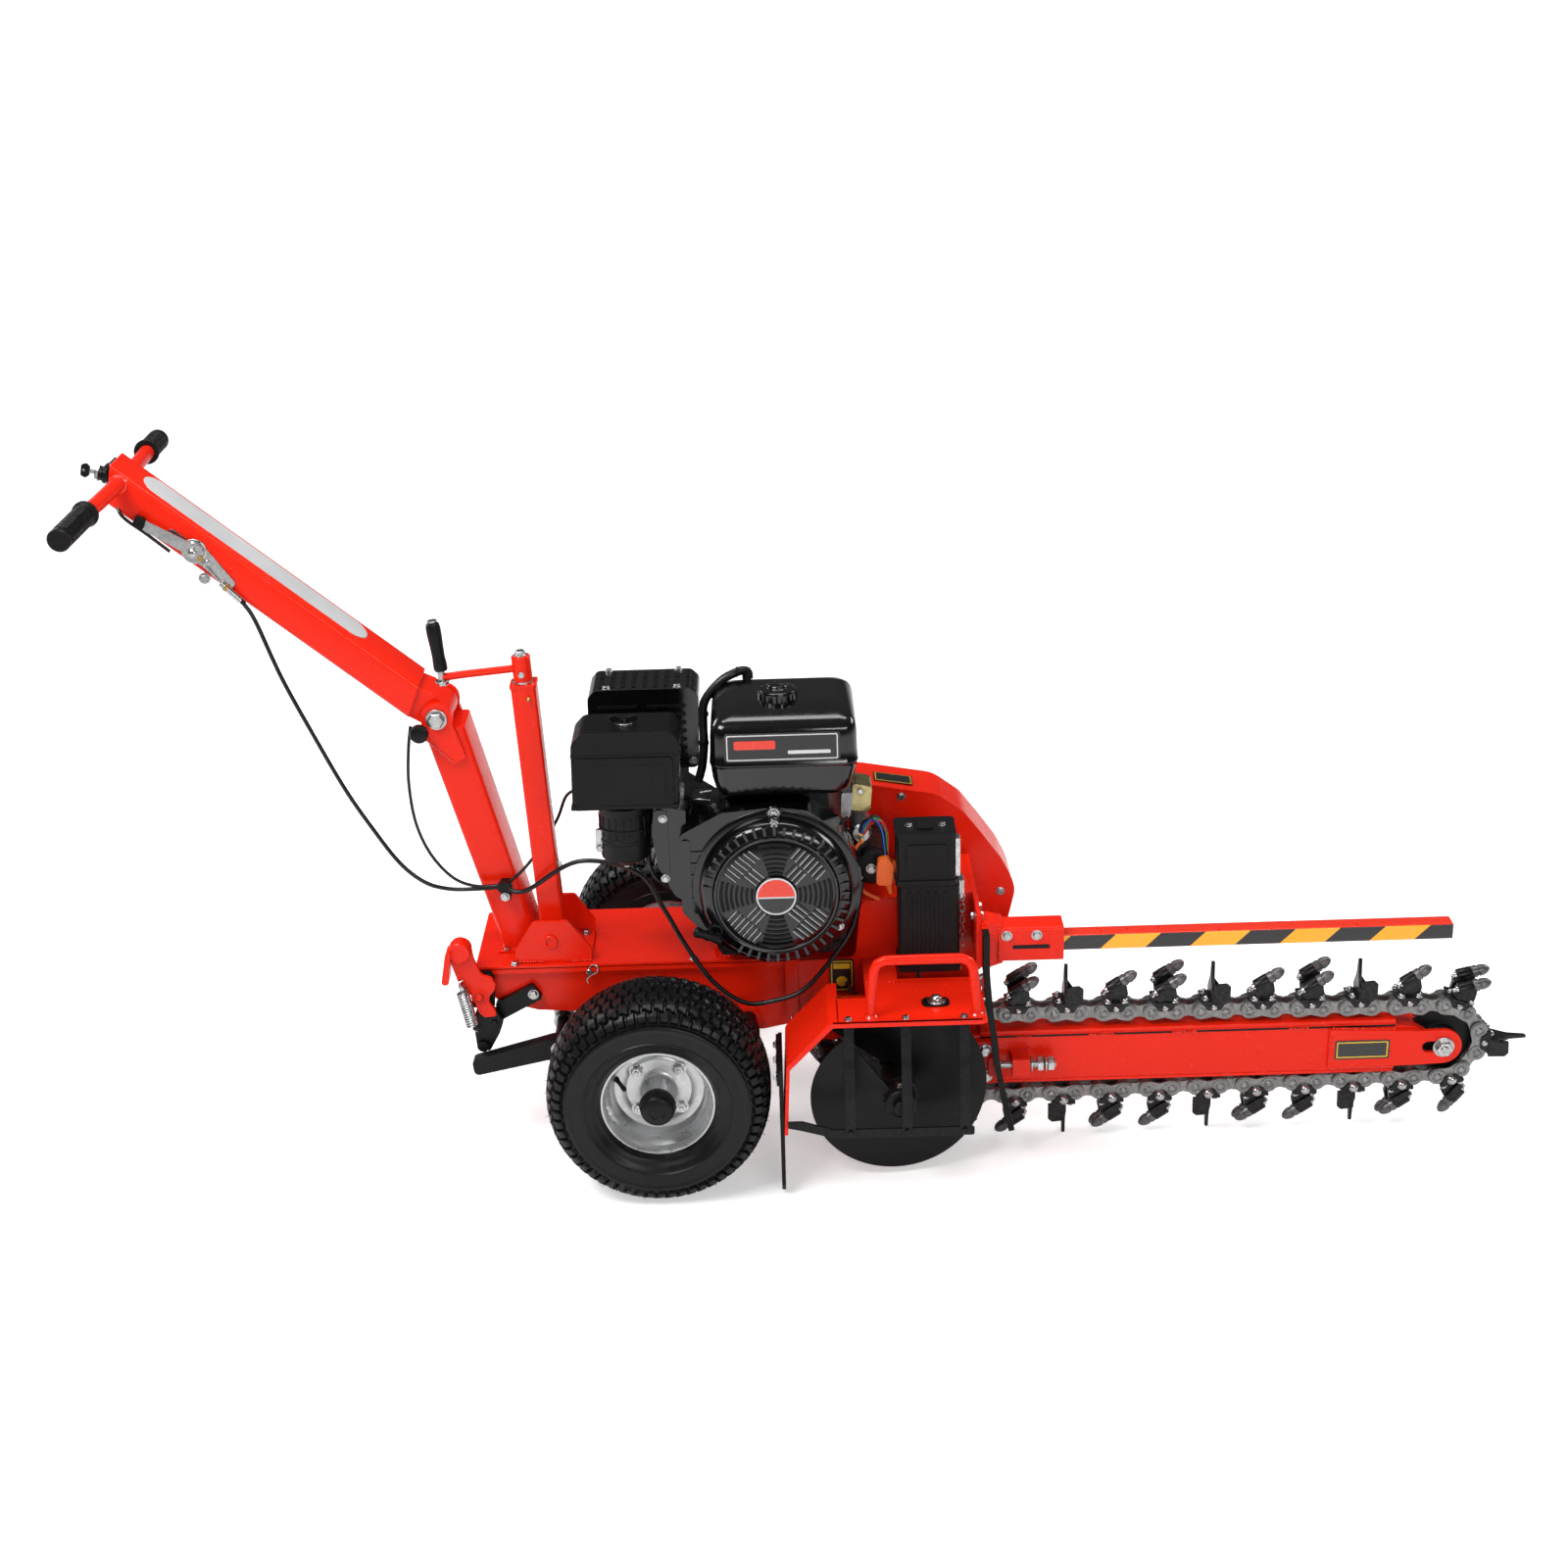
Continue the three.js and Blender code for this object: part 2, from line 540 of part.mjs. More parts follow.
// ---- Auger: hub and one helical flight ----
const AUGER_Y0 = -338;
const AUGER_Y1 = -206;
function augerFlight() {
  const inner = 20;
  const outer = 150;
  const half = 2.5;
  const turns = 1.05;
  const startAngle = 2.2;
  const steps = 28;
  const section = [[inner, -half], [outer, -half], [outer, half], [inner, half]];
  const positions = [];
  const index = [];
  for (let i = 0; i <= steps; i++) {
    const share = i / steps;
    const angle = startAngle + share * turns * 2 * Math.PI;
    const middle = AUGER_Y0 + 14 + share * (AUGER_Y1 - AUGER_Y0 - 24);
    for (const [radius, offset] of section) {
      const [x, z] = polar(DRIVE, radius, angle);
      positions.push(x, middle + offset, z);
    }
    for (let k = 0; i < steps && k < 4; k++) {
      const here = i * 4 + k;
      const next = i * 4 + ((k + 1) % 4);
      index.push(here, next, next + 4, here, next + 4, here + 4);
    }
  }
  const end = steps * 4;
  index.push(0, 2, 1, 0, 3, 2, end, end + 1, end + 2, end, end + 2, end + 3);
  const geometry = new THREE.BufferGeometry();
  geometry.setAttribute('position', new THREE.Float32BufferAttribute(positions, 3));
  geometry.setIndex(index);
  return outwardSolid(geometry);
}
add('auger', BLACK, cut(
  join(rodY(DRIVE, 26, AUGER_Y0, AUGER_Y1), augerFlight()),
  rodY(DRIVE, 13.4, -400, -180),
));

// ---- Boom: hollow box open at its root, with nose plates and a tension block ----
const nosePlate = [[1150, 126], [1150, 206], [1344, 199], [1344, 135]];
add('boom', PAINT, cut(
  join(
    box(524, 1264, CHAIN_Y - 27.5, CHAIN_Y + 27.5, 120, 212),
    bothSides(26, 34, CHAIN_Y).flatMap((span) => [
      slab(nosePlate, ...span),
      rodY(NOSE, 32, ...span, 24),
    ]),
    box(600, 630, -224, -187, 152, 182),
  ),
  boltRod(595, 635, 6.8),
  rodY(NOSE, 10.5, -200, -120, 16),
  box(510, 1258, CHAIN_Y - 23, CHAIN_Y + 23, 125, 207),
));
add('tension_bolt', ZINC, join(
  boltRod(574, 676, 5.8),
  [[644, 655], [662, 673], [572.5, 581]].map(([x0, x1]) => boltRod(x0, x1, 10, 6)),
));
const rollerHalf = [[11.5, 18], [30, 18], [30, 8], [57, 6]];
add('nose_roller', DARK, turned(NOSE, symmetric(rollerHalf, CHAIN_Y), 18));
add('nose_bolt', ZINC, join(
  rodY(NOSE, 9.8, -200, -120, 16),
  rodY(NOSE, 17, -208, -194.6, 6),
  rodY(NOSE, 17, -125.4, -114, 6),
));

// ---- Digging chain: one closed loop of plates, pins and cutters ----
const LINK_H = 36;
const TOOTH = 80;
const reach = [NOSE[0] - DRIVE[0], NOSE[1] - DRIVE[1]];
const gap = Math.hypot(...reach);
const boomAngle = Math.atan2(reach[1], reach[0]);
const taper = Math.asin((DRIVE_R - NOSE_R) / gap);
const straight = gap * Math.cos(taper);
const topAngle = boomAngle + Math.PI / 2 - taper;
const bottomAngle = boomAngle - Math.PI / 2 + taper;
const noseArc = NOSE_R * (topAngle - bottomAngle);
const driveArc = DRIVE_R * (2 * Math.PI - (topAngle - bottomAngle));
const loopLength = 2 * straight + noseArc + driveArc;

const onArc = (centre, radius, angle) => ({ point: polar(centre, radius, angle), angle });
function onStraight(from, to, angle, share) {
  return { point: from.map((value, i) => value + (to[i] - value) * share), angle };
}

// Place on the pin line and its outward angle; runs over the top, nose, bottom, then drive end
function loopPoint(distance) {
  let rest = ((distance % loopLength) + loopLength) % loopLength;
  const ends = (angle) => [polar(DRIVE, DRIVE_R, angle), polar(NOSE, NOSE_R, angle)];
  if (rest < straight) return onStraight(...ends(topAngle), topAngle, rest / straight);
  rest -= straight;
  if (rest < noseArc) return onArc(NOSE, NOSE_R, topAngle - rest / NOSE_R);
  rest -= noseArc;
  if (rest < straight) {
    return onStraight(...ends(bottomAngle).reverse(), bottomAngle, rest / straight);
  }
  rest -= straight;
  return onArc(DRIVE, DRIVE_R, bottomAngle - rest / DRIVE_R);
}

const LINKS = Math.round(loopLength / PITCH);
const STEP = loopLength / LINKS;
// The first pin stands half a tooth pitch from the sprocket's top tooth
const FIRST_PIN = DRIVE_R * (Math.PI / DRIVE_TEETH) - DRIVE_R * (Math.PI / 2 - topAngle);
const pins = Array.from({ length: LINKS }, (_, i) => loopPoint(FIRST_PIN + i * STEP));

// Pins with the same angle as both neighbours add no corner to the plates
const bends = pins.filter((pin, i) => [i + 1, i + LINKS - 1].some((other) =>
  Math.abs(pin.angle - pins[other % LINKS].angle) > 1e-6));
const plateLine = (offset) => bends.map((pin) => polar(pin.point, offset, pin.angle));
const plateHole = plateLine(-LINK_H / 2 + 2).reverse();
let chain = join(bothSides(12, 20, CHAIN_Y).map((span) =>
  slab(plateLine(LINK_H / 2), ...span, [plateHole])));

// Cutters as [along the chain, outward from the pin line]
const straightTooth = [
  [-20, 10], [20, 10], [20, 26], [4, 30], [4, TOOTH], [-3, TOOTH + 2], [-3, 30], [-20, 26],
];
const cupTooth = [
  [-18, 10], [18, 10], [22, 30], [30, 44], [24, 58], [10, 56], [-4, 30], [-18, 26],
];
// They repeat in threes; y0 and y1 are from the chain's middle
const cutters = [
  { outline: straightTooth, y0: -24, y1: 24 },
  { outline: cupTooth, y0: -34, y1: 2 },
  { outline: cupTooth, y0: -2, y1: 34 },
];
for (let i = 0; i < LINKS; i += 2) {
  chain = chain.add(rodY(pins[i].point, 6.5, CHAIN_Y - 15, CHAIN_Y + 15, 6));
}
for (let i = 0; i < LINKS; i += 2) {
  const { point, angle } = loopPoint(FIRST_PIN + (i + 0.5) * STEP);
  const { outline, y0, y1 } = cutters[(i / 2) % 3];
  const placed = outline.map(([along, out]) => [
    point[0] + along * Math.sin(angle) + out * Math.cos(angle),
    point[1] - along * Math.cos(angle) + out * Math.sin(angle),
  ]);
  chain = chain.add(slab(placed, CHAIN_Y + y0, CHAIN_Y + y1));
}
add('digging_chain', DARK, chain);

// ---- Auger hood with its handle, bars on its near side, and rubber flaps ----
const hoodSection = [
  [545, 328], [286, 328], [214, 250], [208, 122],
  [214, 122], [220, 248], [289, 322], [545, 322],
];
const hoodRim = [[540, 328], [289, 328], [216, 250], [216, 232], [300, 306], [540, 306]];
const HANDLE_X = 443;
const handleRod = (side, x0, z0, x1, z1) =>
  rod([HANDLE_X + side * x0, -330, z0], [HANDLE_X + side * x1, -330, z1], 7);
add('auger_hood', PAINT, join(
  slab(hoodSection, -352, -204.5),
  slab(hoodRim, -352, -346),
  box(286, 406, -206, -112.6, 322, 328),
  [-1, 1].flatMap((side) => [
    handleRod(side, 87, 326, 81, 418),
    handleRod(side, 81, 414, 65, 430),
  ]),
  handleRod(1, -67, 430, 67, 430),
));
const guardBar = (x) => join(
  box(x - 8, x + 8, -358, -352.4, 236, 316),
  slab([[x - 8, 240], [x - 8, 120], [x + 10, 120], [x + 8, 240]], -358, -352.4),
);
add('guard_bars', BLACK, join(
  [318, 412, 508].map(guardBar),
  box(280, 524, -362, -357, 118, 134),
  box(214.8, 284, -358, -352.4, 122, 140),
  box(276, 284, -362, -352.4, 118, 140),
));
add('left_flap', RUBBER, box(200, 207.4, -350, -206, 8, 240));
const stripOutline = [
  [549, 430], [556, 430], [563, 290], [567, 200], [575, 200],
  [600, 60], [594, 60], [566, 192], [556, 290],
];
add('right_strip', RUBBER, slab(stripOutline, -252, -222));

// ---- Safety bar and its channel ----
add('bar_channel', PAINT, join(
  cut(box(580, 686, -212, -160, 362, 424), box(570, 700, -205, -167, 370, 416)),
  box(548.4, 584, -212, -160, 362, 424),
));
add('safety_bar', PAINT, box(600, 1342, -203, -169, 376, 404));

// ---- Throttle cable, through [x, y, z] ----
const cablePoints = [
  [-656, -52, 980], [-628, -56, 900], [-560, -60, 740], [-500, -62, 600],
  [-450, -62, 520], [-400, -62, 470], [-330, -62, 458], [-270, -66, 462],
].map((point) => new THREE.Vector3(...point));
add('throttle_cable', RUBBER, solid(new THREE.ExtrudeGeometry(
  new THREE.Shape(vectors(ring([0, 0], 3, 6))),
  {
    steps: 18,
    extrudePath: new THREE.CatmullRomCurve3(cablePoints, false, 'centripetal'),
    bevelEnabled: false,
  },
)));

export default root;
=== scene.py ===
# A walk-behind trencher: an engine on a two-wheeled deck drives a digging chain round a boom,
# with an auger beside the chain, a fuel tank above the engine and a handle at the left end.
# Lengths are millimetres. The origin is on the ground under the axle, +x runs right towards the
# nose of the boom, +y runs from the near side (camera) to the far side, and +z is up.
import bmesh
import bpy
import math
import random
from mathutils import Vector, Matrix
from mathutils.geometry import tessellate_polygon
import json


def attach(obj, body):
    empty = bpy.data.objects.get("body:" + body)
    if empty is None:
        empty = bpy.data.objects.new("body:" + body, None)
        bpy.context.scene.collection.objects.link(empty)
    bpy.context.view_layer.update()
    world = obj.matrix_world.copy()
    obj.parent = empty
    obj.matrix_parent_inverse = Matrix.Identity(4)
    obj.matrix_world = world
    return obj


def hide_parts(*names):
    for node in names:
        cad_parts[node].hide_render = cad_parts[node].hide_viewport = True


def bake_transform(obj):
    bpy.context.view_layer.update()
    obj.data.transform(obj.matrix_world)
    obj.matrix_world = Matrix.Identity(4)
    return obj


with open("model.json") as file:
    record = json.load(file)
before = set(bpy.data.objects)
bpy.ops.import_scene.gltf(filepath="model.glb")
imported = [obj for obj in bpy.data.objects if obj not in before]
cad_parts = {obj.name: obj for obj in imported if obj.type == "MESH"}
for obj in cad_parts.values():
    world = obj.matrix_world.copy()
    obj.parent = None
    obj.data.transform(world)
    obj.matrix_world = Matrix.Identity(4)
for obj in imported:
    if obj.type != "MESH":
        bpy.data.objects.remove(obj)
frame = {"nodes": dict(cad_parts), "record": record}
scene = bpy.context.scene
MM = 0.001
OFFSET = Vector((-298.345, 0, -2))      # from the origin here to the row frame, the base's middle
weld_random = random.Random(7)
pi, sin, cos = math.pi, math.sin, math.cos
LEFT, RIGHT = (-1, 0, 0), (1, 0, 0)
NEAR, FAR = (0, -1, 0), (0, 1, 0)
DOWN, UP = (0, 0, -1), (0, 0, 1)


# ---------------------------------------------------------------- shader nodes
def feed(tree, socket, value):
    """Links an output socket to an input, or sets the input to a plain value."""
    if isinstance(value, bpy.types.NodeSocket):
        tree.links.new(value, socket)
    else:
        socket.default_value = value


def add_node(tree, kind, inputs={}, **settings):
    node = tree.nodes.new("ShaderNode" + kind)
    for name, value in settings.items():
        setattr(node, name, value)
    for key, value in inputs.items():
        feed(tree, node.inputs[key], value)
    return node


def calculate(tree, operation, *values):
    return add_node(tree, "Math", dict(enumerate(values)), operation=operation).outputs[0]


def map_range(tree, value, from_min=0., from_max=1., to_min=0., to_max=1.):
    inputs = dict(enumerate((value, from_min, from_max, to_min, to_max)))
    return add_node(tree, "MapRange", inputs).outputs[0]


def mix_colour(tree, factor, first, second):
    # sockets 6 and 7 are the colour inputs of a Mix node and 2 its colour output
    return add_node(tree, "Mix", {0: factor, 6: first, 7: second}, data_type="RGBA").outputs[2]


def add_noise(tree, place, scale, detail):
    inputs = {"Scale": scale, "Detail": detail, "Vector": place}
    return add_node(tree, "TexNoise", inputs).outputs["Fac"]


# ---------------------------------------------------------------- materials
def material(name, colour, rough, metal=0., coat=0., vary=.12, bump=.02, grain=900., wear=None,
             worn=.5, dust=0., rough_vary=.12, mottle=14., spec=.5, pattern=None):
    """Principled material with mottled colour, uneven roughness and a fine bump.

    vary darkens the mottling, mottle and grain are the noise scales of colour and bump, wear is
    the colour of rubbed edges and worn its amount, dust greys the low parts, and pattern
    replaces the mottled colour.
    """
    made = bpy.data.materials.new(name)
    made.use_nodes = True
    tree = made.node_tree
    place = add_node(tree, "TexCoord").outputs["Object"]
    mottling = map_range(tree, add_noise(tree, place, mottle, 6), from_min=.42, from_max=.72)
    dark = [max(0, c * (1 - vary * 2)) for c in colour] + [1]
    base = mix_colour(tree, mottling, (*colour, 1), dark)
    if pattern:
        base = pattern(tree, place)
    roughness = map_range(
        tree, add_noise(tree, place, mottle * 5, 8), from_min=.3, from_max=.7,
        to_min=max(.03, rough - rough_vary * .5), to_max=min(1, rough + rough_vary))
    if wear:
        pointiness = add_node(tree, "NewGeometry").outputs["Pointiness"]
        edges = map_range(tree, pointiness, from_min=.53, from_max=.60)
        patches = map_range(tree, add_noise(tree, place, 160, 4),
                            from_min=.45, from_max=.6, to_max=worn)
        rubbed = calculate(tree, "MULTIPLY", edges, patches)
        base = mix_colour(tree, rubbed, base, (*wear, 1))
    if dust:
        height = add_node(tree, "SeparateXYZ", {0: place}).outputs[2]
        low = map_range(tree, height, from_min=.28, from_max=0., to_max=dust)
        base = mix_colour(tree, low, base, (.16, .15, .14, 1))
    grains = add_noise(tree, place, grain, 3)
    relief = add_node(tree, "Bump", {
        "Strength": min(1, bump * 8), "Distance": .0004, "Height": grains})
    shader = tree.nodes["Principled BSDF"]
    for key, value in {
            "Base Color": base, "Roughness": roughness, "Metallic": metal, "Coat Weight": coat,
            "Coat Roughness": .12, "Specular IOR Level": spec,
            "Normal": relief.outputs[0]}.items():
        feed(tree, shader.inputs[key], value)
    return made


def slanted_bands(tree, place):
    """Slanted yellow and black bands on near faces, red elsewhere; lengths in metres."""
    slope, start, pitch = 1.02, .2935, .1512
    axes = add_node(tree, "SeparateXYZ", {0: place}).outputs
    along = calculate(tree, "SUBTRACT", axes[0], calculate(tree, "MULTIPLY", axes[2], slope))
    repeats = calculate(tree, "DIVIDE", calculate(tree, "SUBTRACT", along, start), pitch)
    black = calculate(tree, "LESS_THAN", calculate(tree, "FRACT", repeats), .5)
    bands = mix_colour(tree, black, (.93, .42, .008, 1), (.012, .011, .011, 1))
    normal = add_node(tree, "NewGeometry").outputs["Normal"]
    normal_y = add_node(tree, "SeparateXYZ", {0: normal}).outputs[1]
    near = calculate(tree, "LESS_THAN", normal_y, -.72)
    return mix_colour(tree, near, (.76, .026, .006, 1), bands)


RED = material("red_powder_coat", (.80, .016, .003), rough=.24, coat=.05, vary=.02, bump=.004,
               grain=420, wear=(.42, .02, .008), worn=.12, rough_vary=.05, mottle=5, spec=.2)
RED_WELD = material("red_weld_bead", (.80, .02, .004), rough=.18, coat=.5, vary=.06, bump=.05,
                    grain=420)
SATIN = material("black_satin_paint", (.0042, .0042, .0048), rough=.36, vary=.2, bump=.02,
                 grain=600, wear=(.05, .05, .05), worn=.15, dust=.01, spec=.2)
GLOSS = material("black_gloss_enamel", (.0022, .0022, .0028), rough=.14, coat=.45, vary=.1,
                 bump=.006, grain=500, wear=(.03, .03, .03), worn=.1, rough_vary=.06, spec=.4)
PLASTIC = material("black_moulded_plastic", (.0036, .0036, .0042), rough=.33, vary=.15, bump=.04,
                   grain=1500, wear=(.03, .03, .03), worn=.15, spec=.2)
GREY = material("dark_grey_plastic", (.006, .006, .007), rough=.45, vary=.12, bump=.04,
                grain=1300, wear=(.05, .05, .05), worn=.15, spec=.2)
TYRE = material("tyre_rubber", (.0035, .0035, .004), rough=.36, vary=.15, bump=.03, grain=800,
                wear=(.03, .03, .03), worn=.12, coat=.05, spec=.24)
RUBBER = material("flap_rubber", (.0038, .0038, .0042), rough=.42, vary=.2, bump=.04, grain=500,
                  wear=(.03, .03, .03), worn=.15, spec=.2)
CHAIN = material("chain_plate_steel", (.24, .24, .236), rough=.36, metal=.9, vary=.08, bump=.02,
                 grain=500, wear=(.5, .5, .49), worn=.5, mottle=20)
PIN = material("chain_pin_steel", (.30, .30, .31), rough=.3, metal=.95, vary=.25, bump=.03,
               grain=500, wear=(.6, .6, .6), worn=.6, mottle=40)
CUTTER = material("cutter_black", (.0045, .0045, .0048), rough=.30, metal=.1, vary=.2, bump=.05,
                  grain=300, wear=(.07, .07, .07), worn=.25, coat=.12, spec=.26)
BULLET = material("bullet_steel", (.15, .15, .152), rough=.38, metal=.8, vary=.1, bump=.03,
                  grain=420, wear=(.3, .3, .3), worn=.4, mottle=50)
ZINC = material("zinc_plated_bolt", (.50, .50, .50), rough=.24, metal=1, vary=.12, bump=.02,
                grain=700, wear=(.9, .9, .9), worn=.5, mottle=60)
STEEL = material("turned_steel", (.42, .43, .44), rough=.28, metal=1, vary=.15, bump=.03,
                 grain=600, wear=(.7, .7, .7), worn=.5, mottle=40)
RIM = material("silver_rim_paint", (.56, .565, .57), rough=.30, metal=.85, coat=.15, vary=.01,
               bump=.002, grain=500)
ALLOY = material("cast_aluminium", (.40, .41, .42), rough=.42, metal=.8, vary=.18, bump=.12,
                 grain=260, wear=(.7, .7, .7), worn=.5, mottle=30)
CASTING = material("engine_casting_dark", (.012, .0125, .013), rough=.34, metal=.4, vary=.2,
                   bump=.1, grain=260, wear=(.15, .15, .15), worn=.35, mottle=25)
BRASS = material("brass_fitting", (.62, .40, .12), rough=.3, metal=1, vary=.15, bump=.03,
                 grain=500, wear=(.85, .65, .3), worn=.4, mottle=60)
GOLD = material("yellow_passivate", (.50, .42, .20), rough=.3, metal=.9, vary=.25, bump=.03,
                grain=400, mottle=50)
STRIPE = material("hazard_stripe_film", (.9, .4, .01), rough=.3, coat=.3, vary=.05, bump=.01,
                  grain=400, pattern=slanted_bands)
SILVER = material("silver_decal_film", (.60, .60, .61), rough=.36, metal=.1, coat=.3, vary=.05,
                  bump=.006, grain=300)
YELLOW = material("yellow_decal_film", (.80, .50, .02), rough=.35, coat=.2, vary=.05, bump=.006,
                  grain=300)
BLACK = material("black_decal_film", (.012, .012, .012), rough=.3, coat=.3, vary=.05, bump=.006,
                 grain=300)
BADGE = material("red_badge_film", (.72, .03, .01), rough=.25, coat=.4, vary=.05, bump=.006,
                 grain=300)
ORANGE = material("orange_cable_boot", (.75, .12, .012), rough=.45, vary=.1, bump=.03, grain=500)
WIRE = material("black_cable_sheath", (.005, .005, .006), rough=.3, vary=.1, bump=.02, grain=700,
                coat=.15, spec=.35)
BLUE_WIRE = material("blue_wire", (.03, .12, .5), rough=.4, vary=.1, bump=.01)
GREEN_WIRE = material("green_wire", (.03, .3, .06), rough=.4, vary=.1, bump=.01)
RED_WIRE = material("red_wire", (.55, .02, .02), rough=.4, vary=.1, bump=.01)


# ---------------------------------------------------------------- outlines
def polar(centre, radius, angle):
    return (centre[0] + radius * cos(angle), centre[1] + radius * sin(angle))


def circle(centre, radius, steps):
    return [polar(centre, radius, 2 * pi * i / steps) for i in range(steps)]


def arc(centre, radius, start, step, count):
    """Points on a circle; start and step are degrees."""
    return [polar(centre, radius, math.radians(start + i * step)) for i in range(count)]


def at(point, y=0):
    """Puts an (x, z) point at a place across the machine."""
    return (point[0], y, point[1])


def mirrored(profile, side):
    """A (radius, along) profile, turned to point the other way when side is -1."""
    return [(r, h * side) for r, h in profile]


def turned(angle, points):
    return [(u * cos(angle) - v * sin(angle), u * sin(angle) + v * cos(angle)) for u, v in points]


def fillet(points, radius, steps=4, closed=True):
    """Rounds the corners of an outline; radius is one value or one for each point."""
    rounded, count = [], len(points)
    for i, point in enumerate(points):
        r = radius[i] if isinstance(radius, (list, tuple)) else radius
        corner = Vector(point)
        back = Vector(points[i - 1]) - corner
        ahead = Vector(points[(i + 1) % count]) - corner
        back_length, ahead_length = back.length, ahead.length
        open_end = not closed and i in (0, count - 1)
        if open_end or r <= 0 or min(back_length, ahead_length) < 1e-6:
            rounded.append(tuple(point))
            continue
        back /= back_length
        ahead /= ahead_length
        angle = back.angle(ahead)
        if angle > 3.1:
            rounded.append(tuple(point))
            continue
        setback = min(r / math.tan(angle / 2), back_length * .48, ahead_length * .48)
        reach = setback * math.tan(angle / 2) / sin(angle / 2)
        centre = corner + (back + ahead).normalized() * reach
        start, end = corner + back * setback - centre, corner + ahead * setback - centre
        sweep = start.angle(end)
        for j in range(steps + 1):
            f = j / steps
            spoke = start
            if sweep > 1e-4:
                spoke = start * sin((1 - f) * sweep) + end * sin(f * sweep)
                spoke = spoke / max(1e-9, sin(sweep))
            rounded.append(tuple(centre + spoke))
    return rounded


def rect(a0, a1, b0, b1, radius, steps=4):
    return fillet([(a0, b0), (a1, b0), (a1, b1), (a0, b1)], radius, steps)


def signed_area(loop):
    return sum(loop[i - 1][0] * loop[i][1] - loop[i][0] * loop[i - 1][1]
               for i in range(len(loop)))


def wound(loop, sign):
    return list(loop) if signed_area(loop) * sign > 0 else list(loop)[::-1]


def inset(points, distance):
    """Moves every point of an outline inwards, or outwards when distance is negative."""
    moved = []
    sign = 1 if signed_area(points) > 0 else -1
    for i, point in enumerate(points):
        before, here, after = Vector(points[i - 1]), Vector(point), points[(i + 1) % len(points)]
        along = ((here - before).normalized() + (Vector(after) - here).normalized()).normalized()
        moved.append(tuple(here + Vector((-along.y, along.x)) * distance * sign))
    return moved


def strip_outline(path, thickness):
    """Outline of a sheet of one thickness bent along a path."""
    points = [Vector(p) for p in path]
    left, right = [], []
    for i, p in enumerate(points):
        before = (p - points[i - 1]).normalized() if i else (points[1] - p).normalized()
        after = (points[i + 1] - p).normalized() if i < len(points) - 1 else before
        along = (before + after).normalized()
        normal = Vector((-along.y, along.x))
        half = thickness / 2 / max(.3, cos(before.angle(after, 0) / 2))
        left.append(tuple(p + normal * half))
        right.append(tuple(p - normal * half))
    return left + right[::-1]


def toothed(centre, teeth, root, tip):
    """Sprocket outline with six points to a tooth."""
    flank = root + (tip - root) * .45
    points = []
    for k in range(teeth):
        for share, r in ((-.34, root), (-.2, flank), (-.1, tip), (.1, tip), (.2, flank),
                         (.34, root)):
            points.append(polar(centre, r, 2 * pi * k / teeth + share * 2 * pi / teeth))
    return points


def around(centre1, radius1, centre2, radius2, steps=30):
    """A loop stretched round two circles."""
    dx, dz = centre2[0] - centre1[0], centre2[1] - centre1[1]
    heading = math.atan2(dz, dx)
    touch = math.acos((radius1 - radius2) / math.hypot(dx, dz))
    return [polar(centre1, radius1, heading + touch + (2 * pi - 2 * touch) * i / steps)
            for i in range(steps + 1)] + [
        polar(centre2, radius2, heading - touch + 2 * touch * i / steps)
        for i in range(steps + 1)]


# ---------------------------------------------------------------- solids
def square_to(vector, axis):
    return (vector - axis * vector.dot(axis)).normalized()


def tilted(place, angle):
    """A frame at a place, turned about y."""
    return Matrix.Translation(place) @ Matrix.Rotation(angle, 4, "Y")


def mesh_object(name, vertices, faces, finishes, finish_of_face=None, smooth=38.):
    mesh = bpy.data.meshes.new(name)
    mesh.from_pydata(vertices, [], faces)
    for finish in finishes:
        mesh.materials.append(finish)
    if finish_of_face:
        mesh.polygons.foreach_set("material_index", finish_of_face)
    mesh.polygons.foreach_set("use_smooth", [True] * len(faces))
    mesh.update()
    mesh.set_sharp_from_angle(angle=math.radians(smooth))
    made = bpy.data.objects.new(name, mesh)
    scene.collection.objects.link(made)
    return made


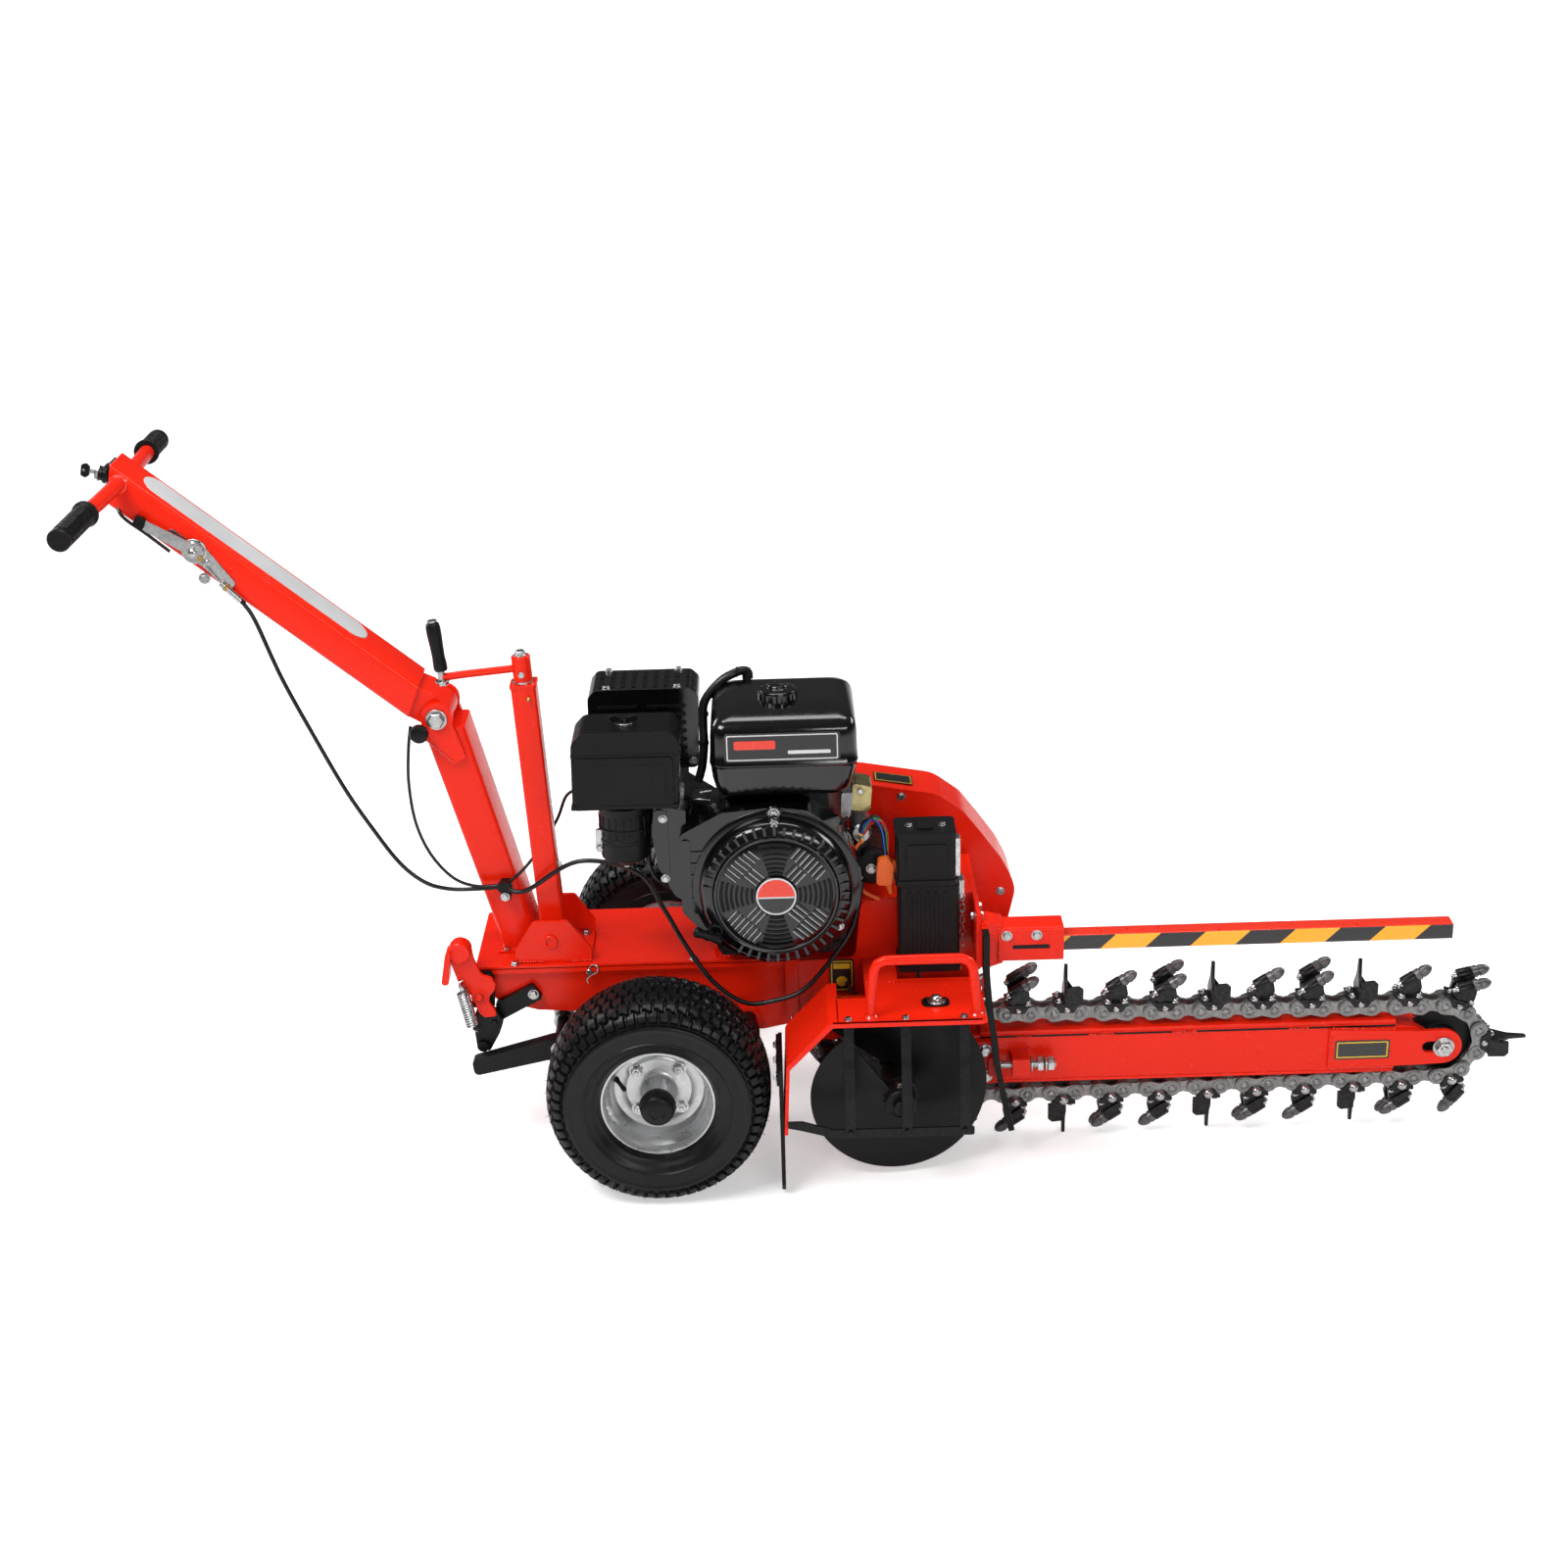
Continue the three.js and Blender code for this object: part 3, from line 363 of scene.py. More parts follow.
class Piece:
    """Collects solids into one mesh. A solid without a finish of its own takes the piece's."""

    def __init__(self, finish):
        self.finish = finish
        self.matrix = Matrix.Identity(4)
        self.vertices, self.faces, self.finishes, self.finish_of_face = [], [], [], []

    def add(self, vertices, faces, finish=None):
        finish = finish or self.finish
        if finish not in self.finishes:
            self.finishes.append(finish)
        start = len(self.vertices)
        self.vertices += [self.matrix @ Vector(p) for p in vertices]
        self.faces += [tuple(start + i for i in face) for face in faces]
        self.finish_of_face += [self.finishes.index(finish)] * len(faces)

    def box(self, x0, x1, y0, y1, z0, z1, finish=None):
        corners = [(x, y, z) for x in (x0, x1) for y in (y0, y1) for z in (z0, z1)]
        self.add(corners, [(0, 1, 3, 2), (4, 6, 7, 5), (0, 4, 5, 1), (2, 3, 7, 6), (0, 2, 6, 4),
                           (1, 5, 7, 3)], finish)

    def prism(self, outline, lo, hi, finish=None, holes=(), axis="y"):
        """Outline across an axis: y takes (x, z) points, x takes (y, z), z takes (x, y)."""
        lo, hi = sorted((lo, hi))
        place = {"x": lambda a, b, t: (t, a, b), "y": lambda a, b, t: (a, t, b),
                 "z": lambda a, b, t: (a, b, t)}[axis]
        loops = [wound(outline, 1)] + [wound(hole, -1) for hole in holes]
        flat = [p for loop in loops for p in loop]
        count = len(flat)
        caps = [tuple(range(count))]
        if holes:
            caps = []
            for triangle in tessellate_polygon([[Vector((a, b, 0)) for a, b in loop]
                                                for loop in loops]):
                p, q, r = (Vector(flat[i]) for i in triangle)
                turn = (q - p).cross(r - p)
                if abs(turn) >= 1e-9:
                    caps.append(tuple(triangle) if turn > 0 else tuple(triangle)[::-1])
        flip = axis == "y"
        faces = []
        for cap in caps:
            low = cap if flip else cap[::-1]
            faces += [low, tuple(i + count for i in low[::-1])]
        start = 0
        for loop in loops:
            for i in range(len(loop)):
                a, b = start + i, start + (i + 1) % len(loop)
                faces.append((a, a + count, b + count, b) if flip
                             else (a, b, b + count, a + count))
            start += len(loop)
        self.add([place(a, b, t) for t in (lo, hi) for a, b in flat], faces, finish)

    def slab(self, x0, x1, y0, y1, z0, z1, radius, finish=None, axis="y", steps=4):
        """Box with its four edges along one axis rounded."""
        spans = {"x": (x0, x1), "y": (y0, y1), "z": (z0, z1)}
        lo, hi = spans.pop(axis)
        (a0, a1), (b0, b1) = spans.values()
        self.prism(rect(a0, a1, b0, b1, radius, steps), lo, hi, finish, axis=axis)

    def lathe(self, profile, steps=48, origin=(0, 0, 0), axis=FAR, closed=False, finish=None):
        """(radius, along) profile turned about an axis; closed joins its two ends."""
        axis, origin = Vector(axis).normalized(), Vector(origin)
        u = square_to(Vector((1, 0, 0)) if abs(axis.x) < .9 else Vector((0, 0, 1)), axis)
        w = axis.cross(u)
        rings, vertices, faces = [], [], []
        for r, along in profile:
            if r < 1e-6:
                rings.append([len(vertices)])
                vertices.append(origin + axis * along)
                continue
            rings.append(list(range(len(vertices), len(vertices) + steps)))
            vertices += [origin + axis * along
                         + (u * cos(2 * pi * i / steps) + w * sin(2 * pi * i / steps)) * r
                         for i in range(steps)]
        for j in range(len(profile) if closed else len(profile) - 1):
            a, b = rings[j], rings[(j + 1) % len(profile)]
            for i in range(steps):
                after = (i + 1) % steps
                if len(a) == 1 and len(b) == 1:
                    continue
                if len(a) == 1:
                    faces.append((a[0], b[after], b[i]))
                elif len(b) == 1:
                    faces.append((a[i], a[after], b[0]))
                else:
                    faces.append((a[i], a[after], b[after], b[i]))
        if not closed:
            if len(rings[0]) > 1:
                faces.append(tuple(rings[0][::-1]))
            if len(rings[-1]) > 1:
                faces.append(tuple(rings[-1]))
        if signed_area(profile) < 0:
            faces = [face[::-1] for face in faces]
        self.add(vertices, faces, finish)

    def ring(self, inner, outer, lo, hi, steps=48, origin=(0, 0, 0), axis=FAR, finish=None):
        profile = [(inner, lo), (outer, lo), (outer, hi), (inner, hi)]
        self.lathe(profile, steps, origin, axis, closed=True, finish=finish)

    def rod(self, start, end, radius, steps=20, chamfer=0., end_radius=None, finish=None):
        start, end = Vector(start), Vector(end)
        length = (end - start).length
        end_radius = radius if end_radius is None else end_radius
        profile = [(radius, 0), (end_radius, length)]
        if chamfer:
            profile = [(radius - chamfer, 0), (radius, chamfer), (end_radius, length - chamfer),
                       (end_radius - chamfer, length)]
        self.lathe([(0, 0)] + profile + [(0, length)], steps, start, end - start, finish=finish)

    def loft(self, rings, finish=None):
        """Skin over rings with the same number of points, capped at both ends."""
        count = len(rings[0])
        faces = []
        for i in range(len(rings) - 1):
            for k in range(count):
                a, b = i * count + k, i * count + (k + 1) % count
                faces.append((a, b, b + count, a + count))
        last = (len(rings) - 1) * count
        faces += [tuple(range(count))[::-1], tuple(range(last, last + count))]
        self.add([p for ring in rings for p in ring], faces, finish)

    def extrude(self, low, high, finish=None, flip=False):
        """Solid between two matching loops; flip is for loops that wind the other way."""
        count = len(low)
        bottom, top = tuple(range(count)), tuple(range(count, 2 * count))
        sides = [(i, (i + 1) % count, (i + 1) % count + count, i + count) for i in range(count)]
        if flip:
            faces = [bottom, top[::-1]] + [(a, d, c, b) for a, b, c, d in sides]
        else:
            faces = [bottom[::-1], top] + sides
        self.add(list(low) + list(high), faces, finish)

    def sheet(self, outline, base, along, normal, offset, thickness, finish):
        """Thin plate on a slope; its outline is (distance along, y)."""
        low = [base + normal * offset + along * u + Vector((0, v, 0)) for u, v in outline]
        self.extrude(low, [p + normal * thickness for p in low], finish)

    def tube(self, points, radius, steps=12, smooth=0, finish=None):
        """Round bar along points; smooth > 0 resamples a Catmull-Rom curve through them."""
        path = [Vector(p) for p in points]
        if smooth:
            curve = []
            for i in range(len(path) - 1):
                p0, p1, p2, p3 = (path[max(0, i - 1)], path[i], path[i + 1],
                                  path[min(len(path) - 1, i + 2)])
                for j in range(smooth):
                    t = j / smooth
                    curve.append(.5 * ((2 * p1) + (p2 - p0) * t
                                       + (2 * p0 - 5 * p1 + 4 * p2 - p3) * t * t
                                       + (3 * p1 - p0 - 3 * p2 + p3) * t ** 3))
            path = curve + [path[-1]]
        rings, side = [], None
        for i, p in enumerate(path):
            along = (path[min(i + 1, len(path) - 1)] - path[max(i - 1, 0)]).normalized()
            if side is None:
                side = Vector((0, 0, 1)) if abs(along.z) < .9 else Vector((1, 0, 0))
            side = square_to(side, along)
            across = along.cross(side)
            rings.append([p + (side * cos(2 * pi * k / steps)
                               + across * sin(2 * pi * k / steps)) * radius
                          for k in range(steps)])
        self.loft(rings, finish)

    def bolt(self, point, direction, half_width, height=None, finish=ZINC, washer=True,
             dome=False, shank=0):
        """Hex head standing on a point; half_width is half the width across flats."""
        point, direction = Vector(point), Vector(direction).normalized()
        r = half_width
        h = height or r * .8
        if washer:
            self.lathe([(0, 0), (r * 1.45, 0), (r * 1.5, r * .06), (r * 1.5, r * .18),
                        (r * 1.45, r * .24), (0, r * .24)], 24, point, direction, finish=finish)
            point = point + direction * r * .22
        corner = r / cos(pi / 6)
        if dome:
            self.lathe([(0, 0), (corner, 0), (corner * .96, h * .4), (corner * .75, h * .8),
                        (corner * .4, h), (0, h * 1.05)], 20, point, direction, finish=finish)
            return
        self.lathe([(0, 0), (corner, 0), (corner, h * .82), (corner * .86, h), (0, h)], 6,
                   point, direction, finish=finish)
        if shank:
            self.rod(point + direction * h, point + direction * (h + shank), r * .52, 14,
                     r * .1, finish=finish)

    def weld(self, start, end, radius=3., finish=RED_WELD):
        """Row of overlapping weld ripples, one every 4.5 mm."""
        start, run = Vector(start), Vector(end) - Vector(start)
        count = max(2, int(run.length / 4.5))
        along = run.normalized()
        for i in range(count + 1):
            shift = Vector([weld_random.uniform(-.3, .3) for _ in range(3)])
            r = radius * weld_random.uniform(.85, 1.12)
            self.lathe([(0, -r * .9), (r * .75, -r * .6), (r, 0), (r * .75, r * .6), (0, r * .9)],
                       8, start + run * (i / count) + shift, along, finish=finish)

    def build(self, name, body, slot, *replaces, bevel=0., segs=2, angle=30., smooth=38.,
              blend=None):
        """Makes the object. blend is (body, body, start, end), with its points in metres."""
        made = mesh_object(name, [tuple((p + OFFSET) * MM) for p in self.vertices], self.faces,
                           self.finishes, self.finish_of_face, smooth)
        if bevel:
            edge = made.modifiers.new("bevel", "BEVEL")
            edge.width = bevel * MM
            edge.segments = segs
            edge.limit_method = "ANGLE"
            edge.angle_limit = math.radians(angle)
            edge.harden_normals = True
            edge.use_clamp_overlap = True
            edge.miter_outer = "MITER_ARC"
        if blend:
            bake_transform(made)
        else:
            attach(made, body)
        if replaces:
            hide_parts(*replaces)


# ---------------------------------------------------------------- shared sizes
PITCH = 42.                                    # digging chain, pin to pin
DRIVE_RADIUS = PITCH / (2 * sin(pi / 12))      # pitch radius of 12 teeth
NOSE_RADIUS = PITCH / (2 * sin(pi / 10))
CHAIN_Y = -160.
WHEEL_Z, WHEEL_Y = 190., 297.5
# shaft centres as (x, z)
DRIVE, NOSE = (403., 165.), (1344.7, 167.)
CRANKSHAFT, JACKSHAFT, FOLD = (206., 507.), (490., 365.), (-356., 770.)

# ---------------------------------------------------------------- digging chain
# The loop starts where the top run leaves the drive sprocket and goes towards the nose.
span = math.hypot(NOSE[0] - DRIVE[0], NOSE[1] - DRIVE[1])
heading = math.atan2(NOSE[1] - DRIVE[1], NOSE[0] - DRIVE[0])
taper = math.asin((DRIVE_RADIUS - NOSE_RADIUS) / span)
RUN = span * cos(taper)
TOP_ANGLE, BOTTOM_ANGLE = heading + pi / 2 - taper, heading - pi / 2 + taper
NOSE_ARC = NOSE_RADIUS * (TOP_ANGLE - BOTTOM_ANGLE)
DRIVE_ARC = DRIVE_RADIUS * (2 * pi - (TOP_ANGLE - BOTTOM_ANGLE))
LOOP = 2 * RUN + NOSE_ARC + DRIVE_ARC
LINK_COUNT = round(LOOP / PITCH)
LINK_STEP = LOOP / LINK_COUNT
FIRST_PIN = DRIVE_RADIUS * (pi / 12) - DRIVE_RADIUS * (pi / 2 - TOP_ANGLE)


def loop_point(s):
    """Point and outward angle at a distance along the chain loop."""
    def between(angle, start, end, f):
        p, q = polar(*start, angle), polar(*end, angle)
        return (p[0] + (q[0] - p[0]) * f, p[1] + (q[1] - p[1]) * f), angle

    drive, nose = (DRIVE, DRIVE_RADIUS), (NOSE, NOSE_RADIUS)
    s %= LOOP
    if s < RUN:
        return between(TOP_ANGLE, drive, nose, s / RUN)
    s -= RUN
    if s < NOSE_ARC:
        angle = TOP_ANGLE - s / NOSE_RADIUS
        return polar(*nose, angle), angle
    s -= NOSE_ARC
    if s < RUN:
        return between(BOTTOM_ANGLE, nose, drive, s / RUN)
    s -= RUN
    angle = BOTTOM_ANGLE - s / DRIVE_RADIUS
    return polar(*drive, angle), angle


def link_frame(start, end, y, outward=None):
    """Frame at the middle of a link, x along it; z is turned to the side of outward if given."""
    along = Vector((end[0] - start[0], end[1] - start[1])).normalized()
    normal = Vector((-along.y, along.x))
    if outward is not None and normal.dot(outward) < 0:
        normal = -normal
    return Matrix(((along.x, 0, normal.x, (start[0] + end[0]) / 2), (0, 1, 0, y),
                   (along.y, 0, normal.y, (start[1] + end[1]) / 2), (0, 0, 0, 1)))


def chain_frame(i):
    start, start_angle = loop_point(FIRST_PIN + i * LINK_STEP)
    end, end_angle = loop_point(FIRST_PIN + (i + 1) * LINK_STEP)
    outward = Vector(polar((0, 0), 1, (start_angle + end_angle) / 2))
    return link_frame(start, end, CHAIN_Y, outward)


def link_outline(radius, waist):
    """Figure-8 side plate round two pins."""
    points = []
    for side in (1, -1):
        turn = 0 if side > 0 else pi
        points += [polar((side * PITCH / 2, 0), radius,
                         (-pi / 2 - .25) + (pi + .5) * i / 9 + turn) for i in range(10)]
        points.append((0, waist * side))
    return points


def add_blade(cutters):
    """Blade square to the travel with a square stiffener on the near side."""
    cutters.prism(fillet([(-23, 18), (23, 18), (23, 32), (8, 56), (3.4, 86), (-3.4, 88),
                          (-8, 58), (-23, 34)], [1, 1, 3, 8, 1.5, 1.5, 8, 3], 3),
                  -4.6, 1.4, axis="x")
    cutters.prism(fillet([(-2, 18), (27, 18), (27, 48), (20, 54), (-2, 52)], 2.4), -24, -18.5)
    cutters.prism(fillet([(-2, 18), (18, 18), (12, 40), (-2, 60)], 2), 4, 8.6)


def add_bullet(cutters, bolts, bullets, y, lift):
    """Block with a slanted socket that holds a bullet tooth."""
    cutters.prism(fillet([(-13, 18), (15, 18), (21, 30 + lift), (17, 50 + lift), (-3, 38 + lift),
                          (-17, 34 + lift)], 3), y - 5.5, y + 5.5)
    cutters.prism(fillet([(-19, 29 + lift), (-9, 22 + lift), (18, 40 + lift), (12, 52 + lift)],
                         3), y - 11, y + 11)
    slant = math.radians(34)
    axis = Vector((cos(slant), 0, sin(slant)))
    seat = Vector((-13, y, 37 + lift))
    cutters.lathe([(0, 0), (9.6, 0), (11.2, 1.6), (11.2, 25), (10, 27), (7.4, 27.4), (0, 27)],
                  26, seat, axis)
    bolts.lathe([(0, -9), (3.2, -9), (4.4, -7.4), (4.4, -4), (7, -3.4), (7, 1), (0, 1)],
                20, seat, axis)
    bullets.lathe([(0, 26), (9.4, 26.4), (10.6, 28), (10.6, 35), (9, 36.4), (9, 38),
                   (10.2, 39.2), (9.8, 45), (8.4, 50), (6.2, 54), (3.6, 56.4), (1.4, 57.4),
                   (0, 57.6)], 24, seat, axis)
    bullets.lathe([(0, 26), (9.8, 26.6), (10.4, 28), (10.4, 31), (9.4, 32.4), (0, 32.4)],
                  26, seat, axis)


# For each of the three cutter kinds: teeth as (y, lift) and base bolts as (along, y).
CUTTER_KINDS = (
    ((), ((-13, -13), (-13, 13), (14, 14), (13, -9))),
    (((-9, 4),), ((15, -17), (14, 17), (-15, 17), (-14, -18))),
    (((-15, -1), (15, 11)), ((15, -2), (-15, 2), (17, 19), (17, -19))),
)
OUTER_PLATE, INNER_PLATE = link_outline(15.5, 10.5), link_outline(14.5, 10)
PIN_PLACES = (-PITCH / 2, PITCH / 2)
links, cutters, bolts, bullets = Piece(CHAIN), Piece(CUTTER), Piece(ZINC), Piece(BULLET)
for i in range(LINK_COUNT):
    for piece in (links, cutters, bolts, bullets):
        piece.matrix = chain_frame(i)
    outer = i % 2 == 0
    y0, y1, outline = (14.2, 19.2, OUTER_PLATE) if outer else (8.6, 13.6, INNER_PLATE)
    for side in (-1, 1):
        links.prism(outline, side * y0, side * y1)
        if outer:
            # raised rim round each pin end
            for x in PIN_PLACES:
                links.lathe([(7.5, 0), (13.8, 0), (13.4, 1.3), (12.4, 1.8), (9.2, 1.8),
                             (8.2, 1.3)], 22, (x, side * y1, 0), (0, side, 0), closed=True)
    for x in PIN_PLACES:
        if outer:
            links.lathe([(0, -21.5), (3.4, -21.5), (5.4, -20.6), (6.3, -19), (6.3, 19),
                         (5.4, 20.6), (3.4, 21.5), (0, 21.5)], 20, (x, 0, 0), finish=PIN)
        else:
            links.lathe([(6.6, -7.6), (10.8, -7.6), (11.2, -7), (11.2, 7), (10.8, 7.6),
                         (6.6, 7.6)], 20, (x, 0, 0), closed=True, finish=PIN)
    if not outer:
        continue
    # base plate across the link, with a cheek down each side
    cutters.slab(-21, 21, -24, 24, 14.5, 20.5, 1.4, steps=2)
    for side in (-1, 1):
        cutters.prism(fillet([(-12, 4), (12, 4), (19, 17), (-19, 17)], 3), side * 19.6, side * 24)
    teeth, base_bolts = CUTTER_KINDS[(i // 2) % 3]
    if not teeth:
        add_blade(cutters)
    for y, lift in teeth:
        add_bullet(cutters, bolts, bullets, y, lift)
    for x, y in base_bolts:
        bolts.bolt((x, y, 20.5), UP, 4.7, 6, dome=True)
    bolts.lathe([(0, -24), (5.6, -24), (5.4, -25.2), (4.2, -26.8), (2, -27.6), (0, -27.8)],
                20, (0, 0, 10))
    if bolts.matrix.translation.z < DRIVE[1]:
        bolts.lathe([(0, -20), (8.6, -20), (9, -21.4), (9, -25), (7.6, -28), (5, -30.2),
                     (2, -31.2), (0, -31.4)], 26, (0, 0, 11))
links.build("digging_chain_links", "frame", "dark_steel", "digging_chain",
            bevel=.7, segs=1, angle=50)
cutters.build("digging_chain_cutters", "frame", "dark_steel", bevel=1.1, segs=1, angle=40)
bolts.build("digging_chain_bolts", "frame", "zinc")
bullets.build("digging_chain_bullets", "frame", "dark_steel", smooth=20)

# drive sprocket and nose roller
part = Piece(SATIN)
part.prism(toothed(DRIVE, 12, DRIVE_RADIUS - 16, DRIVE_RADIUS - 7.6), -165, -155, CHAIN,
           [circle(DRIVE, 13, 20)])
for k in range(6):
    part.bolt(at(polar(DRIVE, 34, k * pi / 3), -165), NEAR, 5, washer=False)
part.lathe([(13, -180), (27, -180), (28, -178), (28, -140), (13, -140)], 28, at(DRIVE),
           closed=True)
part.build("drive_sprocket_wheel", "head_shaft", "dark_steel", "drive_sprocket", bevel=.8, segs=1)
part = Piece(SATIN)
part.lathe([(10.4, -177), (27, -177), (29, -175), (30, -168), (34, -166.5), (55, -165.5),
            (57, -164), (57, -156), (55, -154.5), (34, -153.5), (30, -152), (29, -145),
            (27, -143), (10.4, -143)], 56, at(NOSE), closed=True)
part.lathe([(12, -178.6), (20, -178.6), (21, -178), (21, -176), (12, -176)], 28, at(NOSE),
           closed=True, finish=RUBBER)
part.build("nose_roller_wheel", "nose_roller", "dark_steel", "nose_roller", bevel=.6, segs=1)

# ---------------------------------------------------------------- boom
TUBE_NEAR, TUBE_FAR = CHAIN_Y - 27.5, CHAIN_Y + 27.5
TUBE_BOTTOM, TUBE_TOP, TUBE_WALL = 120., 212., 5
part = Piece(RED)
part.prism(rect(TUBE_NEAR, TUBE_FAR, TUBE_BOTTOM, TUBE_TOP, 7), 524, 1264, axis="x",
           holes=[rect(TUBE_NEAR + TUBE_WALL, TUBE_FAR - TUBE_WALL,
                       TUBE_BOTTOM + TUBE_WALL, TUBE_TOP - TUBE_WALL, 3, 3)])
# strips along the top and bottom, standing a little proud, with stitch welds
part.slab(548, 1262, -186, -134, TUBE_TOP - 3, TUBE_TOP + 5, 2, axis="x")
part.slab(560, 1262, -186, -134, TUBE_BOTTOM + 2, TUBE_BOTTOM - 4, 2, axis="x")
# painted shade: thin black strip filling the groove between the tube's rounded corner and the top
# strip
part.box(548, 1262, -188.2, -186.5, 205.4, 208.4, SATIN)
for x0, x1 in ((612, 634), (736, 776), (880, 918), (1080, 1110)):
    part.weld((x0, -188.4, 206.5), (x1, -188.4, 206.5), 2.6)
# nose plates with a slot for the roller bolt
nose_plate = fillet([(1148, 131), (1148, 205), (1300, 198)] + arc(NOSE, 32, 85, -14.2, 13)
                    + [(1300, 133)], [6, 6, 10] + [0] * 13 + [10])
nose_slot = arc((NOSE[0] - 26, NOSE[1]), 10.6, 90, 22.5, 9) + arc(NOSE, 10.6, -90, 22.5, 9)
for y0, y1 in ((-195.2, -187.4), (-132.6, -124.8)):
    part.prism(nose_plate, y0, y1, holes=[nose_slot])
part.weld((1150, -193, 133), (1150, -193, 203), 3.2)
part.weld((1154, -192, 206), (1258, -192, 201.5), 2.8)
part.weld((1154, -192, 129.5), (1258, -192, 131), 2.8)
# gussets between the tube end and the nose plates
part.prism([(1228, 197), (1318, 190), (1296, 203), (1240, 209)], -186, -134)
part.prism([(1228, 134), (1312, 144), (1290, 129), (1240, 126)], -186, -134)
part.box(1250, 1264, -186, -134, 124, 208)
# lug for the tension bolt, and beside it a black sheet painting the shade of an opening
part.prism(rect(-228, -186, 150, 184, 3), 600, 630, holes=[circle((-213, 167), 8.4, 28)],
           axis="x")
for x in (599, 631):
    part.weld((x, -189, 150), (x, -189, 184), 3)
# painted shade: black sheet standing for the shaded inside of an opening
part.slab(546, 572, -188.6, -187.2, 140, 198, 6, SATIN)
part.build("boom_weldment", "boom", "red_paint", "boom", bevel=1.4)

part = Piece(YELLOW)
part.slab(1158, 1252, -196, -195.1, 148, 184, 3, BLACK)
part.prism(rect(1161, 1249, 151, 181, 2), -196.3, -195.9, holes=[rect(1163, 1247, 153, 179, 1.4)])
part.build("boom_plain_plate", "boom", "red_paint")

part = Piece(ZINC)
for y, side, height, shank in ((-195.2, -1, 9.5, 3), (-124.8, 1, 7, 0)):
    part.lathe([(0, 0), (17.5, 0), (18.5, .8), (18.5, 2.8), (17.5, 3.4), (0, 3.4)], 36,
               at(NOSE, y), (0, side, 0))
    part.bolt(at(NOSE, y + side * 3.2), (0, side, 0), 13, height, washer=False, shank=shank)
part.rod(at(NOSE, -198), at(NOSE, -122), 9.8, 24)
part.build("nose_bolt_set", "boom", "zinc", "nose_bolt", bevel=.5)

# tension bolt: threaded stud, two washers, two nuts and a head
STUD_Y, STUD_Z = -213, 167
part = Piece(ZINC)
part.rod((574, STUD_Y, STUD_Z), (676, STUD_Y, STUD_Z), 6.3, 22, 1)
for k in range(48):
    part.lathe([(6.2, -.5), (7.1, 0), (6.2, .5)], 20, (584 + k * 1.9, STUD_Y, STUD_Z), RIGHT,
               closed=True)
for washer_x, nut_x in ((632.5, 644), (657, 662)):
    part.ring(7.2, 14.4, 0, 2.2, 28, (washer_x, STUD_Y, STUD_Z), RIGHT)
    part.bolt((nut_x, STUD_Y, STUD_Z), RIGHT, 11.6, 11, washer=False)
part.bolt((572.6, STUD_Y, STUD_Z), RIGHT, 11.6, 8.5, washer=False)
part.build("tension_stud", "frame", "zinc", "tension_bolt", bevel=.4, segs=1)

# ---------------------------------------------------------------- restraint bar
part = Piece(STRIPE)
part.prism(rect(-203, -169, 376, 404, 3.5), 600, 1342, holes=[rect(-200, -172, 379, 401, 2, 2)],
           axis="x")
part.slab(1338, 1342.4, -201.5, -170.5, 377.5, 402.5, 3, SATIN, axis="x")
part.build("restraint_bar", "safety_bar", "striped_paint", "safety_bar", bevel=.8)
part = Piece(RED)
part.prism(rect(-212, -160, 362, 424, 6), 576, 686, holes=[rect(-205, -167, 369, 417, 2, 2)],
           axis="x")
part.prism(fillet([(548.6, 352), (560, 352), (584, 360), (584, 428), (560, 434), (548.6, 434)],
                  3), -210, -162)
part.box(600, 662, -212.8, -211.6, 386, 393, SATIN)
for x in (590, 640):
    part.bolt((x, -212, 411), NEAR, 6.2)
part.weld((577, -211, 363), (577, -211, 423), 3)
part.weld((549.5, -209, 356), (549.5, -209, 430), 2.6)
part.build("restraint_bar_guide", "frame", "red_paint", "bar_channel", bevel=1.2)

# ---------------------------------------------------------------- tyres
# (radius, y) from the middle of the tread to the shoulder
CROWN = [(188, 0), (187.6, 22), (186, 38), (182.6, 52), (177.4, 62), (170.5, 69.6), (162, 74.4),
         (157, 76)]
# (radius, y) down the sidewall from the shoulder to the bead
SIDEWALL = [(153.6, 77.0), (150.4, 78.8), (147.4, 79), (145.4, 77.6), (141, 77.6), (132, 78.2),
            (124.6, 77.8), (123.4, 79), (121.4, 79), (120, 77.2), (114, 74.6), (108, 70.6),
            (103.4, 65.8), (100.6, 64.8), (98.8, 61.4), (96.4, 57.4), (95.8, 55), (92.6, 49.4)]
STATIONS, ROWS = 1150, 74       # mesh divisions round the tyre and across the tread
HALF_TREAD = 90.                # along the crown
LANES, BLOCKS = 7, 58           # tread blocks across and around
GROOVE = 6.6


def crown(reach):
    """Radius, y and outward normal at a signed distance along the crown from its middle."""
    def normal(k):
        before, after = CROWN[max(0, k - 1)], CROWN[min(len(CROWN) - 1, k + 1)]
        dr, dy = after[0] - before[0], after[1] - before[1]
        length = math.hypot(dr, dy)
        return dy / length, -dr / length

    distance, passed = abs(reach), 0.
    side = 1 if reach >= 0 else -1
    for i in range(len(CROWN) - 1):
        (r0, y0), (r1, y1) = CROWN[i], CROWN[i + 1]
        length = math.hypot(r1 - r0, y1 - y0)
        if distance <= passed + length or i == len(CROWN) - 2:
            f = (distance - passed) / length
            n0, n1 = normal(i) if i else (1, 0), normal(i + 1)
            return (r0 + (r1 - r0) * f, (y0 + (y1 - y0) * f) * side,
                    n0[0] + (n1[0] - n0[0]) * f, (n0[1] + (n1[1] - n0[1]) * f) * side)
        passed += length


def ramp(value, start, width):
    return min(1, max(0, (value - start) / width))


